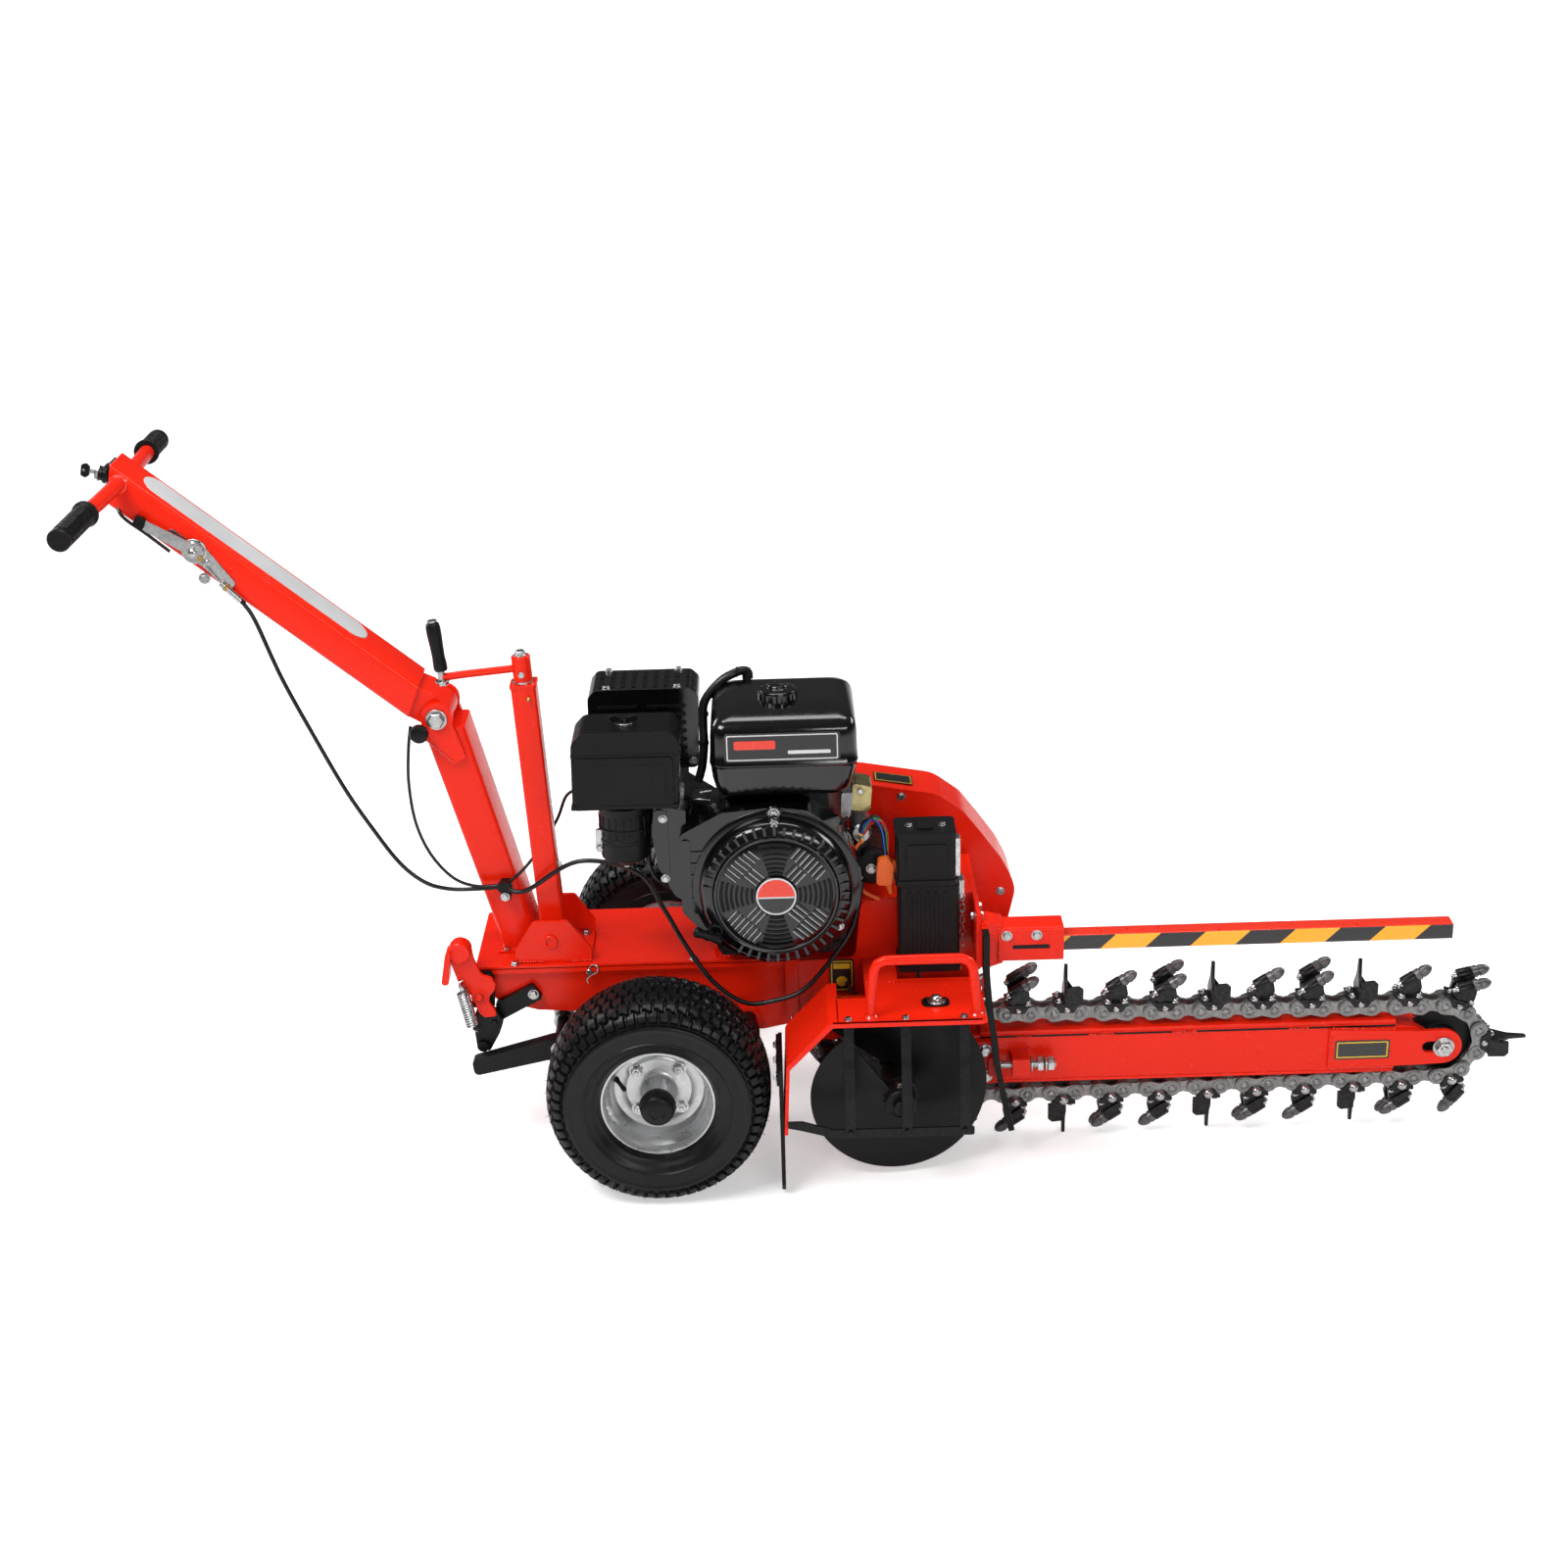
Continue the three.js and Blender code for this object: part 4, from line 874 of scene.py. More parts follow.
def tread_height(reach, radius, phase):
    """Height over the crown: 0 on a block and -GROOVE in the grooves between blocks."""
    lane_width = 2 * HALF_TREAD / LANES
    across = (reach - 2.6 * sin(phase * 2 * pi) + HALF_TREAD) / lane_width
    lane = math.floor(across)
    to_lane_edge = min(across - lane, 1 - (across - lane)) * lane_width
    along = (phase + .5 * (lane % 2)) % 1
    to_block_end = min(along, 1 - along) * (2 * pi * radius / BLOCKS)
    block = min(ramp(to_lane_edge, 1.5, 1.3), ramp(to_block_end, 1.7, 1.3))
    shoulder = ramp(HALF_TREAD - 2 - abs(reach), 0, 5)
    return -GROOVE + (3.0 + 3.6 * shoulder) * block * shoulder


def tyre(label, side):
    name, body, centre_y = f"{label}_tyre_tread", f"wheel_{label}", side * WHEEL_Y
    reaches = [-HALF_TREAD + 2 * HALF_TREAD * k / ROWS for k in range(ROWS + 1)]
    rows = [(reach, *crown(reach)) for reach in reaches]
    count = 2 * len(SIDEWALL) + len(rows)
    vertices, faces = [], []
    for i in range(STATIONS):
        angle = 2 * pi * i / STATIONS
        phase = angle / (2 * pi) * BLOCKS
        section = [(r, -y) for r, y in SIDEWALL[::-1]]
        for reach, r, y, normal_r, normal_y in rows:
            height = tread_height(reach, r, phase)
            section.append((r + normal_r * height, y + normal_y * height))
        section += SIDEWALL
        vertices += [((r * cos(angle) + OFFSET.x) * MM, (centre_y + y) * MM,
                      (WHEEL_Z + r * sin(angle) + OFFSET.z) * MM) for r, y in section]
        after = (i + 1) % STATIONS
        for k in range(count):
            k2 = (k + 1) % count
            faces.append((i * count + k, after * count + k, after * count + k2, i * count + k2))
    made = mesh_object(name, vertices, faces, [TYRE], smooth=40)
    shell = bmesh.new()
    shell.from_mesh(made.data)
    bmesh.ops.recalc_face_normals(shell, faces=shell.faces)
    shell.to_mesh(made.data)
    shell.free()
    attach(made, body)
    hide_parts(f"tyre_{label}")
    # moulding hairs, left off where they would reach the ground
    hairs, rand = Piece(TYRE), random.Random(11 + side)
    for k in range(260):
        angle = rand.uniform(0, 2 * pi)
        reach = rand.choice((-1, 1)) * rand.choice((12, 38, 64, 78, 84, 88)) + rand.uniform(-3, 3)
        r, y, normal_r, normal_y = crown(max(-89, min(89, reach)))
        lean = angle + rand.uniform(-.5, .5)
        direction = Vector((cos(lean) * normal_r, normal_y + rand.uniform(-.3, .3),
                            sin(lean) * normal_r)).normalized()
        root = Vector(at(polar((0, WHEEL_Z), r - 2, angle), centre_y + y - normal_y * 2))
        if (root + direction * 10).z < 3.5:
            continue
        hairs.rod(root, root + direction * rand.uniform(5, 9), .5, 5, end_radius=.28)
    hairs.build(name + "_hairs", body, "tyre")


# (radius, y) round the pressed rim: outer flange, disc, hub, then back along the inner face
RIM_PROFILE = [
    (93.6, 51), (95.6, 53.4), (94.8, 56.4), (91.8, 56.8), (89.8, 54), (88.6, 48), (87.6, 40),
    (83, 35), (79.5, 28), (79, 12), (78.4, 6), (75, 1.2), (66, -.8), (57, 1.2), (54.5, 3.6),
    (44, 4.6), (33, 6.2), (29, 9), (27.6, 12), (27.6, 58), (26, 60), (17.5, 60), (16, 58.5),
    (16, -9), (30, -9.4), (44, -6.4), (58, -3.6), (66, -5.6), (76, -4), (79, -8), (80.5, -20),
    (82, -32), (87, -40), (88.6, -47), (89.8, -54), (91.8, -56.8), (94.8, -56.4), (95.6, -53.4),
    (93.6, -51), (91.6, -46), (90.6, -38), (86, -32), (84, -22), (83, -4), (83.2, 14), (84, 28),
    (88, 34), (91, 40), (92, 47)]
HUB_CAP = [(0, 50), (24, 50), (27.5, 52), (28.6, 56), (29, 64), (28.6, 74), (27, 80), (24, 83.6),
           (19, 85.4), (13, 86.2), (12, 84.8), (0, 84.8)]


def rim(label, side):
    part = Piece(RIM)
    part.matrix = Matrix.Translation((0, side * WHEEL_Y, WHEEL_Z))
    outward = (0, side, 0)
    part.lathe(mirrored(RIM_PROFILE, side), 96, closed=True)
    for k in range(4):
        x, z = polar((0, 0), 50, pi / 4 + k * pi / 2 + .02)
        part.lathe([(0, 0), (11.5, 0), (12.5, 1), (12.5, 2.2), (0, 2.2)], 26, (x, 2.8 * side, z),
                   outward, finish=ZINC)
        part.bolt((x, 4.6 * side, z), outward, 8.2, 8.5, washer=False, shank=3)
    part.lathe(mirrored(HUB_CAP, side), 40, finish=SATIN)
    part.lathe(mirrored([(29, 60), (30.6, 60.8), (30.6, 64), (29, 64.8)], side), 40,
               closed=True, finish=SATIN)
    # valve
    spoke = Vector((cos(2.75), 0, sin(2.75))).normalized()
    root = Vector((spoke.x * 76, 18 * side, spoke.z * 76))
    stem = (-spoke * .55 + Vector((0, .85 * side, 0))).normalized()
    part.lathe([(0, 0), (5.4, 0), (5, 4), (3.6, 9), (3.4, 22), (0, 22)], 16, root, stem,
               finish=RUBBER)
    part.lathe([(0, 22), (3.9, 22), (4.1, 23), (4.1, 31), (3.4, 32.4), (0, 32.8)], 16, root,
               stem, finish=PLASTIC)
    part.build(f"{label}_rim_dish", f"wheel_{label}", "silver_rim", f"rim_{label}", smooth=32)


for make_part in (tyre, rim):
    make_part("near", -1)
    make_part("far", 1)

# ---------------------------------------------------------------- axle carrier
AXLE, CARRIER_PIVOT = (0, WHEEL_Z), (150, 215)
part = Piece(SATIN)
part.rod(at(AXLE, -303), at(AXLE, 303), 12.5, 28, 1.2)
for side in (-1, 1):
    part.ring(13, 22, 0, 1.4, 28, at(AXLE, 206 * side), (0, side, 0), ZINC)
part.rod(at(AXLE, -205), at(AXLE, 205), 22, 40, 1.2)
part.rod(at(CARRIER_PIVOT, -165), at(CARRIER_PIVOT, 165), 13.5, 32, 1)
arm = fillet([(-22, 172), (0, 166), (20, 172), (160, 198), (168, 215), (160, 232), (140, 234),
              (20, 214), (-4, 216), (-22, 208)], 9)
for y0, y1 in ((-165, -150), (150, 165)):
    part.prism(arm, y0, y1, holes=[circle(CARRIER_PIVOT, 13.3, 24), circle(AXLE, 21.8, 30)])
    part.ring(13, 20, y0 - 4, y1 + 4, 30, at(CARRIER_PIVOT))
part.prism(fillet([(-330, 178), (-187, 217), (0, 214), (0, 172), (-198, 175), (-327, 148)],
                  [9, 20, 6, 6, 14, 9], 5), -164, -142)
part.rod((-178, -150, 196), (-178, -20, 196), 11, 28, 1)
for y in (-62, -18):
    part.ring(11, 17, 0, 2.4, 26, (-178, y, 196), finish=ZINC)
part.weld((-190, -165, 214), (-150, -165, 214), 2.6, SATIN)
part.bolt((-178, -164, 196), NEAR, 9.5, 7)
part.build("axle_carrier_weldment", "axle_carrier", "black_steel", "axle_carrier", bevel=1.3)

# ---------------------------------------------------------------- engine crankcase
CYLINDER_TILT = math.radians(28)
part = Piece(CASTING)
part.prism(fillet([(104, 352.6), (320, 352.6), (326, 400), (330, 560), (300, 610), (232, 634),
                   (120, 632), (100, 560), (96, 430)], 14), -128, 58)
part.prism(fillet([(110, 353), (314, 353), (318, 372), (106, 372)], 4), -134, 60)
for x in (124, 300):
    for y in (-118, 44):
        part.bolt((x, y, 371.5), UP, 6.4)
# cooling fins along the slanted cylinder
for k in range(11):
    part.matrix = tilted((96 - k * 8.2, 0, 528 + k * 4.6), CYLINDER_TILT)
    part.slab(-1.7, 1.7, -112, 36, -62, 62, 12, axis="x")
part.matrix = Matrix.Identity(4)
part.prism(fillet([(12, 500), (104, 452), (108, 600), (40, 646), (4, 610)], 10), -92, 18)
# cover on the left end of the cylinder
part.matrix = tilted((14, -38, 575), CYLINDER_TILT)
part.slab(-9, 1, -62, 66, -56, 52, 14, ALLOY, axis="x")
for y in (-50, 54):
    for z in (-44, 40):
        part.bolt((-9, y, z), LEFT, 5, washer=False)
part.matrix = Matrix.Identity(4)
part.lathe([(0, 58), (34, 58), (34, 62), (30, 65), (0, 65)], 40, at(CRANKSHAFT), finish=ALLOY)
part.slab(110, 300, -60, 40, 638, 676, 5, PLASTIC)
part.slab(130, 300, -70, 30, 677, 683.4, 6, PLASTIC, axis="z")
part.rod((132, -128, 392), (132, -141, 392), 9, 6, finish=ZINC)
part.rod((132, -128, 392), (132, -132, 392), 13, 24, finish=RUBBER)
# slanted plug with a ribbed grip
part.lathe([(0, 0), (15, 0), (15, 4), (12, 6), (12, 18), (10, 20), (0, 20)], 24,
           (282, -130, 402), (0, -.82, .55), finish=PLASTIC)
for k in range(10):
    rib = Vector((cos(k * pi / 5) * 12, -4, sin(k * pi / 5) * 12))
    part.rod(Vector((282, -134, 404)) + rib, Vector((282, -142, 412)) + rib, 1.3, 6,
             finish=PLASTIC)
part.box(4, 60, -30, 40, 560, 632)
part.build("engine_crankcase", "frame", "cast_alloy", "engine_block", bevel=1.5)

# ---------------------------------------------------------------- fan shroud
part = Piece(GLOSS)
part.prism(fillet([(48, 604), (48, 464), (84, 424), (110, 404), (206, 384), (300, 410),
                   (346, 470), (349, 530), (318, 600), (262, 642), (206, 650), (120, 642)],
                  [16, 18, 16, 10, 60, 40, 40, 40, 40, 30, 30, 26], 6), -196, -128.6)
part.lathe([(0, -200), (132, -200), (139, -197.5), (141, -192), (141, -128.8), (0, -128.8)], 96,
           at(CRANKSHAFT))
# raised pads with flange bolts round the edge
for x, z in ((206, 641), (102, 487), (318, 494)):
    part.lathe([(0, 0), (13, 0), (13, -4), (11.6, -5.6), (0, -5.6)], 26, (x, -197, z))
    part.bolt((x, -202.4, z), NEAR, 6.6)
part.prism(fillet([(52, 596), (52, 474), (66, 474), (66, 596)], 4), -199.4, -195.6)
for k in range(5):
    part.slab(56, 92, -198.6, -195.6, 486 + k * 21, 491 + k * 21, 2.2, steps=3)
part.prism(fillet([(8, 652), (2, 600), (10, 540), (36, 486), (60, 470), (60, 640)],
                  [10, 16, 20, 16, 2, 2], 5), -176, -132)
part.prism(fillet([(8, 646), (4, 600), (12, 544), (30, 508), (30, 640)], [8, 14, 16, 4, 4], 5),
           -179.6, -174)
for z in (628, 520):
    part.bolt((22, -179.6, z), NEAR, 5)
part.build("cooling_fan_shroud", "frame", "gloss_black", "fan_shroud", bevel=4.5, segs=4,
           angle=50)

# ---------------------------------------------------------------- recoil starter
VENT_REACH = 93
CENTRE = (0, 0)
part = Piece(GLOSS)
part.matrix = Matrix.Translation(at(CRANKSHAFT))
part.lathe([(0, -226), (30, -230.4), (34, -231), (56, -232.4), (60, -232.4), (97, -231.4),
            (101, -229.2), (104, -229.2), (106, -230.6), (118, -227.5), (124, -221.5),
            (127.5, -212), (128.4, -200.6), (0, -200.6)], 128)
# four sectors of bright steel strips that paint the highlights along the slot edges, each with a
# black bar beside it, and ribbed sectors between
for group in range(4):
    base = math.radians(45 + 90 * group)
    for k in range(-3, 4):
        v = k * 9.4
        for u0, u1 in ((36, 62), (65, math.sqrt(VENT_REACH ** 2 - v ** 2))):
            if u0 == 36 and abs(k) > 1:
                continue
            # painted highlight: each bright strip stands for the light caught along a slot edge
            highlight_strip = [(u0, v - 1.0), (u1, v + .2), (u1, v + 2.2), (u0, v + 1.0)]
            part.prism(fillet(turned(base, highlight_strip), .9, 3), -233.4, -230.8, STEEL)
            bar = [(u0 - .4, v + 1.6), (u1, v + 2.8), (u1, v + 7.0), (u0 - .4, v + 5.8)]
            part.prism(fillet(turned(base, bar), 1.2, 2), -234.6, -231.2)
    spread = [base + pi / 4 - .3 + .6 * j / 8 for j in range(9)]
    for k in range(7):
        r = 38 + k * 8.6
        part.prism([polar(CENTRE, r, a) for a in spread]
                   + [polar(CENTRE, r + 4.6, a) for a in spread[::-1]], -234.4, -230.4, PLASTIC)
# teeth round the edge, with a gap at the lower left
for k in range(44):
    angle = k * 2 * pi / 44
    if not .96 < angle / pi < 1.29:
        tooth = [(107, -2.4), (122, -2.8), (122, 2.8), (107, 2.4)]
        part.prism(turned(angle, tooth), -231.4, -222)
part.lathe([(98, -231), (99.2, -233.2), (102.6, -233.2), (104, -231)], 96, closed=True)
# plain round badge
part.lathe([(0, -236.2), (30, -236.2), (34, -235), (35.6, -232), (35.6, -228), (0, -228)], 64)
part.lathe([(30.4, -235.8), (33.4, -235.8), (33.4, -237), (30.4, -237)], 72, closed=True,
           finish=SILVER)
part.prism(arc(CENTRE, 30.6, -4, 188 / 30, 31), -237, -235.8, BADGE)
part.prism(arc(CENTRE, 30.6, -176, 172 / 30, 31), -236.9, -235.8, BLACK)
part.slab(-30, 30, -237.3, -235.8, -3.4, -.6, .6, SILVER, steps=2)
for degrees in (90, 212, -32):
    place = polar(CENTRE, 122, math.radians(degrees))
    part.lathe([(0, 0), (10.5, 0), (10.5, -5), (9, -6.4), (0, -6.4)], 22, at(place, -214))
    part.bolt(at(place, -220), NEAR, 5.4)
part.matrix = Matrix.Identity(4)
# rope eyelet
part.lathe([(4.6, -228), (9, -232.5), (11.5, -231.5), (13.4, -227), (13.4, -206), (0, -206),
            (0, -212), (4.6, -214)], 28, (104, 0, 444), finish=PLASTIC)
part.prism(fillet([(96, 432), (118, 430), (130, 440), (150, 470), (130, 480), (98, 458)], 6),
           -226, -200.6)
part.build("recoil_starter_cover", "frame", "gloss_black", "recoil_cover", bevel=.9, angle=40)

part = Piece(PLASTIC)
part.rod((94, -242, 441), (94, -229, 441), 2.6, 12, finish=WIRE)
part.lathe([(0, -25), (5, -25), (8, -23.5), (9.4, -20), (8.2, -13), (7.2, -6), (8.6, 0),
            (7.2, 6), (8.2, 13), (9.4, 20), (8, 23.5), (5, 25), (0, 25)], 28, (91, -242, 441.5),
           Vector((47, 0, -19)).normalized())
part.lathe([(3, -5), (8, -3), (8, 5), (3, 5)], 20, (94, -236, 441), closed=True)
part.build("starter_pull_grip", "starter_grip", "black_plastic", "starter_grip", bevel=.4, segs=1)

# rope from the eyelet to the grip, baked in place at rest
part = Piece(WIRE)
part.rod((94, -216, 441), (94, -238, 441), 2, 14)
part.build("starter_rope", None, "black_plastic",
           blend=("frame", "starter_grip", (.094, -.216, .441), (.094, -.238, .441)))

# ---------------------------------------------------------------- fuel tank
FILLER = (218, -105, 0)
# rounded sections going up: x0, x1, y0, y1, corner radius, z
TANK_LEVELS = [
    (124, 318, -172, 10, 20, 662), (117, 327, -180, 16, 24, 666), (112, 334, -184, 20, 25, 674),
    (107, 341, -187, 23, 26, 694), (105, 345.4, -188.6, 24.6, 26, 712),
    (104.4, 346.4, -189, 25, 26, 718), (103, 347.6, -190, 26, 27, 719),
    (102.8, 347.8, -190.2, 26.2, 27, 720.6), (103, 347.6, -190, 26, 27, 722.2),
    (104.4, 346.4, -189, 25, 26, 723.4), (104.6, 346.4, -189, 24.6, 25, 744),
    (105.4, 346, -188, 24, 24, 766), (106.4, 345, -186.4, 23, 22, 780),
    (110, 342, -182, 20, 20, 789), (117, 337, -172, 14, 20, 796.4), (130, 328, -152, 2, 20, 804),
    (144, 317, -128, -14, 20, 809.4), (152, 311, -118, -22, 18, 810.6)]
part = Piece(GLOSS)
part.loft([[(x, y, z) for x, y in rect(x0, x1, y0, y1, r, 7)]
           for x0, x1, y0, y1, r, z in TANK_LEVELS])
# raised plain panel on the near face
part.slab(128, 318, -190.2, -186, 728, 778, 6)
part.prism(rect(132, 314, 731, 775, 3), -190.9, -189.8, SILVER, [rect(134, 312, 733, 773, 2)])
part.slab(144, 212, -190.8, -189.8, 750, 765, 3, BADGE)
part.slab(232, 302, -190.8, -189.8, 741, 747, 2, SILVER)
for x in (128, 322):
    part.bolt((x, -178, 727.5), DOWN, 4.6, washer=False)
part.lathe([(0, 798), (29, 798), (29, 800), (27, 803), (27.6, 806), (27.6, 811), (26, 812),
            (0, 812)], 44, FILLER, UP, finish=STEEL)
# fitting and hose
part.rod((166, 4, 796), (166, 4, 808), 7, 22, .6, finish=BRASS)
part.lathe([(0, 0), (9.4, 0), (9.4, 8), (8.4, 12), (7, 14), (0, 14)], 24, (168, 4, 806), UP,
           finish=PLASTIC)
part.tube([(170, 4, 817), (160, 0, 821), (144, -6, 818), (124, -10, 808), (105, -14, 790),
           (92, -18, 768), (90, -22, 735), (90, -26, 700), (86, -36, 664), (78, -48, 640)],
          7.6, 18, 7, WIRE)
for place, axis in (((150, -4, 820), (-.95, 0, .3)), ((91, -20, 752), UP), ((90, -26, 702), UP)):
    part.lathe([(7.4, -3.4), (8.8, -3), (8.8, 3), (7.4, 3.4)], 22, place, axis, closed=True,
               finish=PLASTIC)
part.rod((150, -40, 796), (150, -40, 803.5), 5, 16, finish=ZINC)
part.build("fuel_tank_shell", "frame", "gloss_black", "fuel_tank", bevel=.8, angle=50, smooth=50)

part = Piece(GLOSS)
part.prism([polar(FILLER, 33.5 if (k // 3) % 2 else 31.2, 2 * pi * k / 72) for k in range(72)],
           803.6, 821, axis="z")
part.lathe([(0, 820.6), (31, 820.6), (30, 824.2), (26, 826.4), (19, 827), (17, 828.4),
            (17, 830.6), (15.6, 832.4), (0, 832.6)], 48, FILLER, UP)
part.slab(206, 230, -109, -101, 830, 834, 3, axis="z")
part.build("fuel_filler_cap", "fuel_cap", "gloss_black", "fuel_cap", bevel=.8)

# ---------------------------------------------------------------- air filter
CANISTER = (-43, -150, 0)
part = Piece(PLASTIC)
part.lathe([(0, 553), (38, 553), (41, 555), (42, 559), (42, 585), (43.2, 586), (43.2, 591),
            (42, 592), (42, 636), (43.6, 640), (43.6, 649), (0, 649)], 56, CANISTER, UP)
for k in range(20):
    angle = k * 2 * pi / 20
    if sin(angle) < .25:
        rib = polar(CANISTER, 42, angle)
        part.rod((*rib, 596), (*rib, 632), 1.5, 8)
part.slab(-62, 3.5, -138, -90, 600, 649.4, 8, axis="z")
part.slab(-20, 40, -124, -80, 566, 604, 8, ALLOY, axis="z")
part.bolt((8, -124, 585), NEAR, 6)
part.lathe([(41.5, 606), (44, 606.6), (44, 611.4), (41.5, 612)], 56, CANISTER, UP, closed=True)
part.lathe([(0, 538), (14, 538), (17, 541), (18, 553), (0, 553)], 32, CANISTER, UP,
           finish=CASTING)
part.bolt((-43, -150, 538), DOWN, 6)
part.prism(fillet([(-92, 566), (-80, 566), (-78, 606), (-92, 606)], 4), -166, -158, ZINC)
part.bolt((-86, -166, 574), NEAR, 4.6)
part.rod((4, -124, 566), (4, -150, 560), 6, 20, .8, finish=ALLOY)
part.rod((20, -122, 604), (20, -140, 604), 4, 16, finish=ZINC)
part.lathe([(0, 0), (14, 0), (14, 3), (11, 5), (11, 22), (0, 22)], 28, (-6, -104, 566), DOWN,
           finish=ALLOY)
part.tube([(-6, -104, 546), (-8, -108, 520), (2, -112, 492), (30, -112, 470)], 4, 12, 6, WIRE)
part.build("air_filter_canister", "frame", "black_plastic", "air_filter_base", bevel=.7, angle=40)

part = Piece(PLASTIC)
part.prism(fillet([(-125, 650), (-122, 766), (-105, 784.6), (41, 784.6), (56.5, 766),
                   (48.6, 650)], [8, 16, 16, 16, 16, 8], 5), -189, -93)
part.slab(-121, 44, -191.4, -188, 656, 742, 9)
part.slab(-104, 30, -192.2, -190.2, 668, 730, 5)
part.prism([(-123.6, 744), (51, 744), (51, 747.6), (-123.6, 747.6)], -190.2, -92)
part.slab(-127, 51, -192.6, -91, 652, 659, 2)
# wing nut on top
part.lathe([(0, 784), (15, 784), (15, 787), (0, 787)], 28, (-36, -140, 0), UP, finish=ZINC)
part.lathe([(0, 786), (9, 786), (8, 792), (7, 794), (0, 794)], 24, (-36, -140, 0), UP)
part.prism(fillet([(-58, 789), (-49, 787), (-36, 791), (-23, 787), (-14, 789), (-12, 797),
                   (-19, 799), (-30, 796), (-42, 796), (-53, 799), (-60, 797)], 2.4, 3),
           -143, -137)
part.build("air_filter_lid", "frame", "black_plastic", "air_filter_cover", bevel=2.2, segs=3,
           angle=40)

# ---------------------------------------------------------------- silencer guard
part = Piece(PLASTIC)
part.prism(fillet([(-107, 656), (-104, 786), (-92, 800), (70, 800), (84, 786), (80, 656)],
                  [10, 12, 12, 12, 12, 10], 5), -22, 81, GLOSS)
for k in range(9):
    x = -86 + k * 18.4
    for y0, y1 in ((-10, 26), (36, 70)):
        part.slab(x, x + 9, y0, y1, 799, 801.6, 4, axis="z")
for k in range(7):
    z = 676 + k * 15
    for x0, x1 in ((-88, -20), (-4, 62)):
        part.slab(x0, x1, -24.2, -21.6, z, z + 6, 2.8)
for x in (-72, 48):
    for y in (-14, 74):
        part.bolt((x, y, 800), UP, 5)
for x in (-96, 72):
    part.bolt((x, -22, 668), NEAR, 5)
part.rod((-107, 30, 700), (-98, 30, 700), 15, 28, 1, finish=STEEL)
part.rod((20, 40, 656), (26, 30, 600), 16, 28, 1, finish=CASTING)
part.build("silencer_guard", "frame", "gloss_black", "muffler_cover", bevel=1.6, angle=40)

# ---------------------------------------------------------------- electric starter
STARTER = (368, 500)
part = Piece(SATIN)
part.lathe([(0, -120), (12, -120), (27, -118), (31, -113), (31, 10), (28, 18), (0, 20)], 44,
           at(STARTER))
for y in (-98, -8):
    part.lathe([(31, y), (32.2, y + .8), (32.2, y + 4), (31, y + 4.8)], 44, at(STARTER),
               closed=True)
part.lathe([(0, -110), (14, -110), (18, -107), (18, -34), (16, -30), (0, -30)], 32,
           (352, 0, 560), finish=STEEL)
part.slab(344, 362, -100, -40, 520, 556, 4, CASTING, axis="z")
part.slab(318, 350, -126, -40, 470, 540, 6, CASTING, axis="z")
part.bolt(at(STARTER, -119), NEAR, 6)
for x, z in ((350, 484), (386, 516)):
    part.bolt((x, -117, z), NEAR, 3.6)
for z in (566, 552):
    part.rod((352, -110, z), (352, -120, z), 4.4, 14, finish=BRASS)
# plated cover above
part.prism(fillet([(334, 606), (368, 602), (372, 646), (340, 654)], 6), -112, -58, GOLD)
part.bolt((352, -112, 640), NEAR, 4.6, washer=False)
part.prism(fillet([(318, 596), (334, 596), (340, 640), (320, 640)], 4), -120, -60, ALLOY)
part.build("starter_motor_set", "frame", "black_steel", "starter_motor", bevel=.9)

part = Piece(ORANGE)
for finish, dx, dz in ((BLUE_WIRE, 0, 0), (GREEN_WIRE, 5, 3), (RED_WIRE, 9, -2), (WIRE, -5, 2),
                       (WIRE, 3, 7)):
    part.tube([(352 + dx * .4, -122, 566 + dz), (360 + dx, -132, 590 + dz),
               (376 + dx, -136, 596 + dz), (388 + dx, -132, 570 + dz),
               (392 + dx * .6, -134, 530 + dz), (398 + dx, -140, 500 + dz)], 2, 8, 6, finish)
part.tube([(352, -121, 552), (340, -134, 540), (338, -140, 500), (352, -142, 470),
           (380, -140, 452)], 3.2, 10, 6)
part.tube([(330, -128, 600), (316, -134, 588), (312, -132, 560), (322, -130, 520)], 3, 10, 6,
          WIRE)
part.prism(fillet([(374, 486), (402, 484), (405, 520), (396, 534), (378, 530)], 7), -158, -138)
part.prism(fillet([(388, 528), (404, 522), (420, 516), (422, 498), (404, 492)], 6), -154, -136)
part.lathe([(0, 0), (7.6, 0), (6.6, 10), (4.4, 22), (0, 22)], 20, (396, -148, 488), (.2, 0, -1))
part.build("starter_wiring", "frame", "black_plastic", bevel=.6, segs=1)

# linkage above the shroud
part = Piece(ZINC)
part.prism(fillet([(70, 650), (160, 654), (164, 668), (74, 668)], 3), -150, -147, SATIN)
part.prism(fillet([(96, 622), (110, 622), (118, 668), (104, 670)], 3), -156, -153, SATIN)
part.tube([(84, -152, 662), (120, -152, 666), (170, -150, 664), (204, -146, 668)], 1.5, 8, 5)
part.tube([(60, -140, 640), (76, -150, 650), (104, -154, 648)], 1.3, 8, 5)
for k in range(9):
    part.lathe([(3.2, -.7), (4.4, 0), (3.2, .7)], 14, (128 + k * 2.6, -152, 660), RIGHT,
               closed=True)
part.rod((107, -146, 640), (107, -159, 640), 5, 6)
part.rod((150, -146, 661), (150, -156, 661), 4.4, 6)
part.prism(fillet([(16, 632), (56, 640), (58, 662), (20, 660)], 4), -128, -104, ALLOY)
part.bolt((36, -128, 650), NEAR, 4.6)
part.build("governor_linkage", "frame", "zinc", bevel=.4, segs=1)

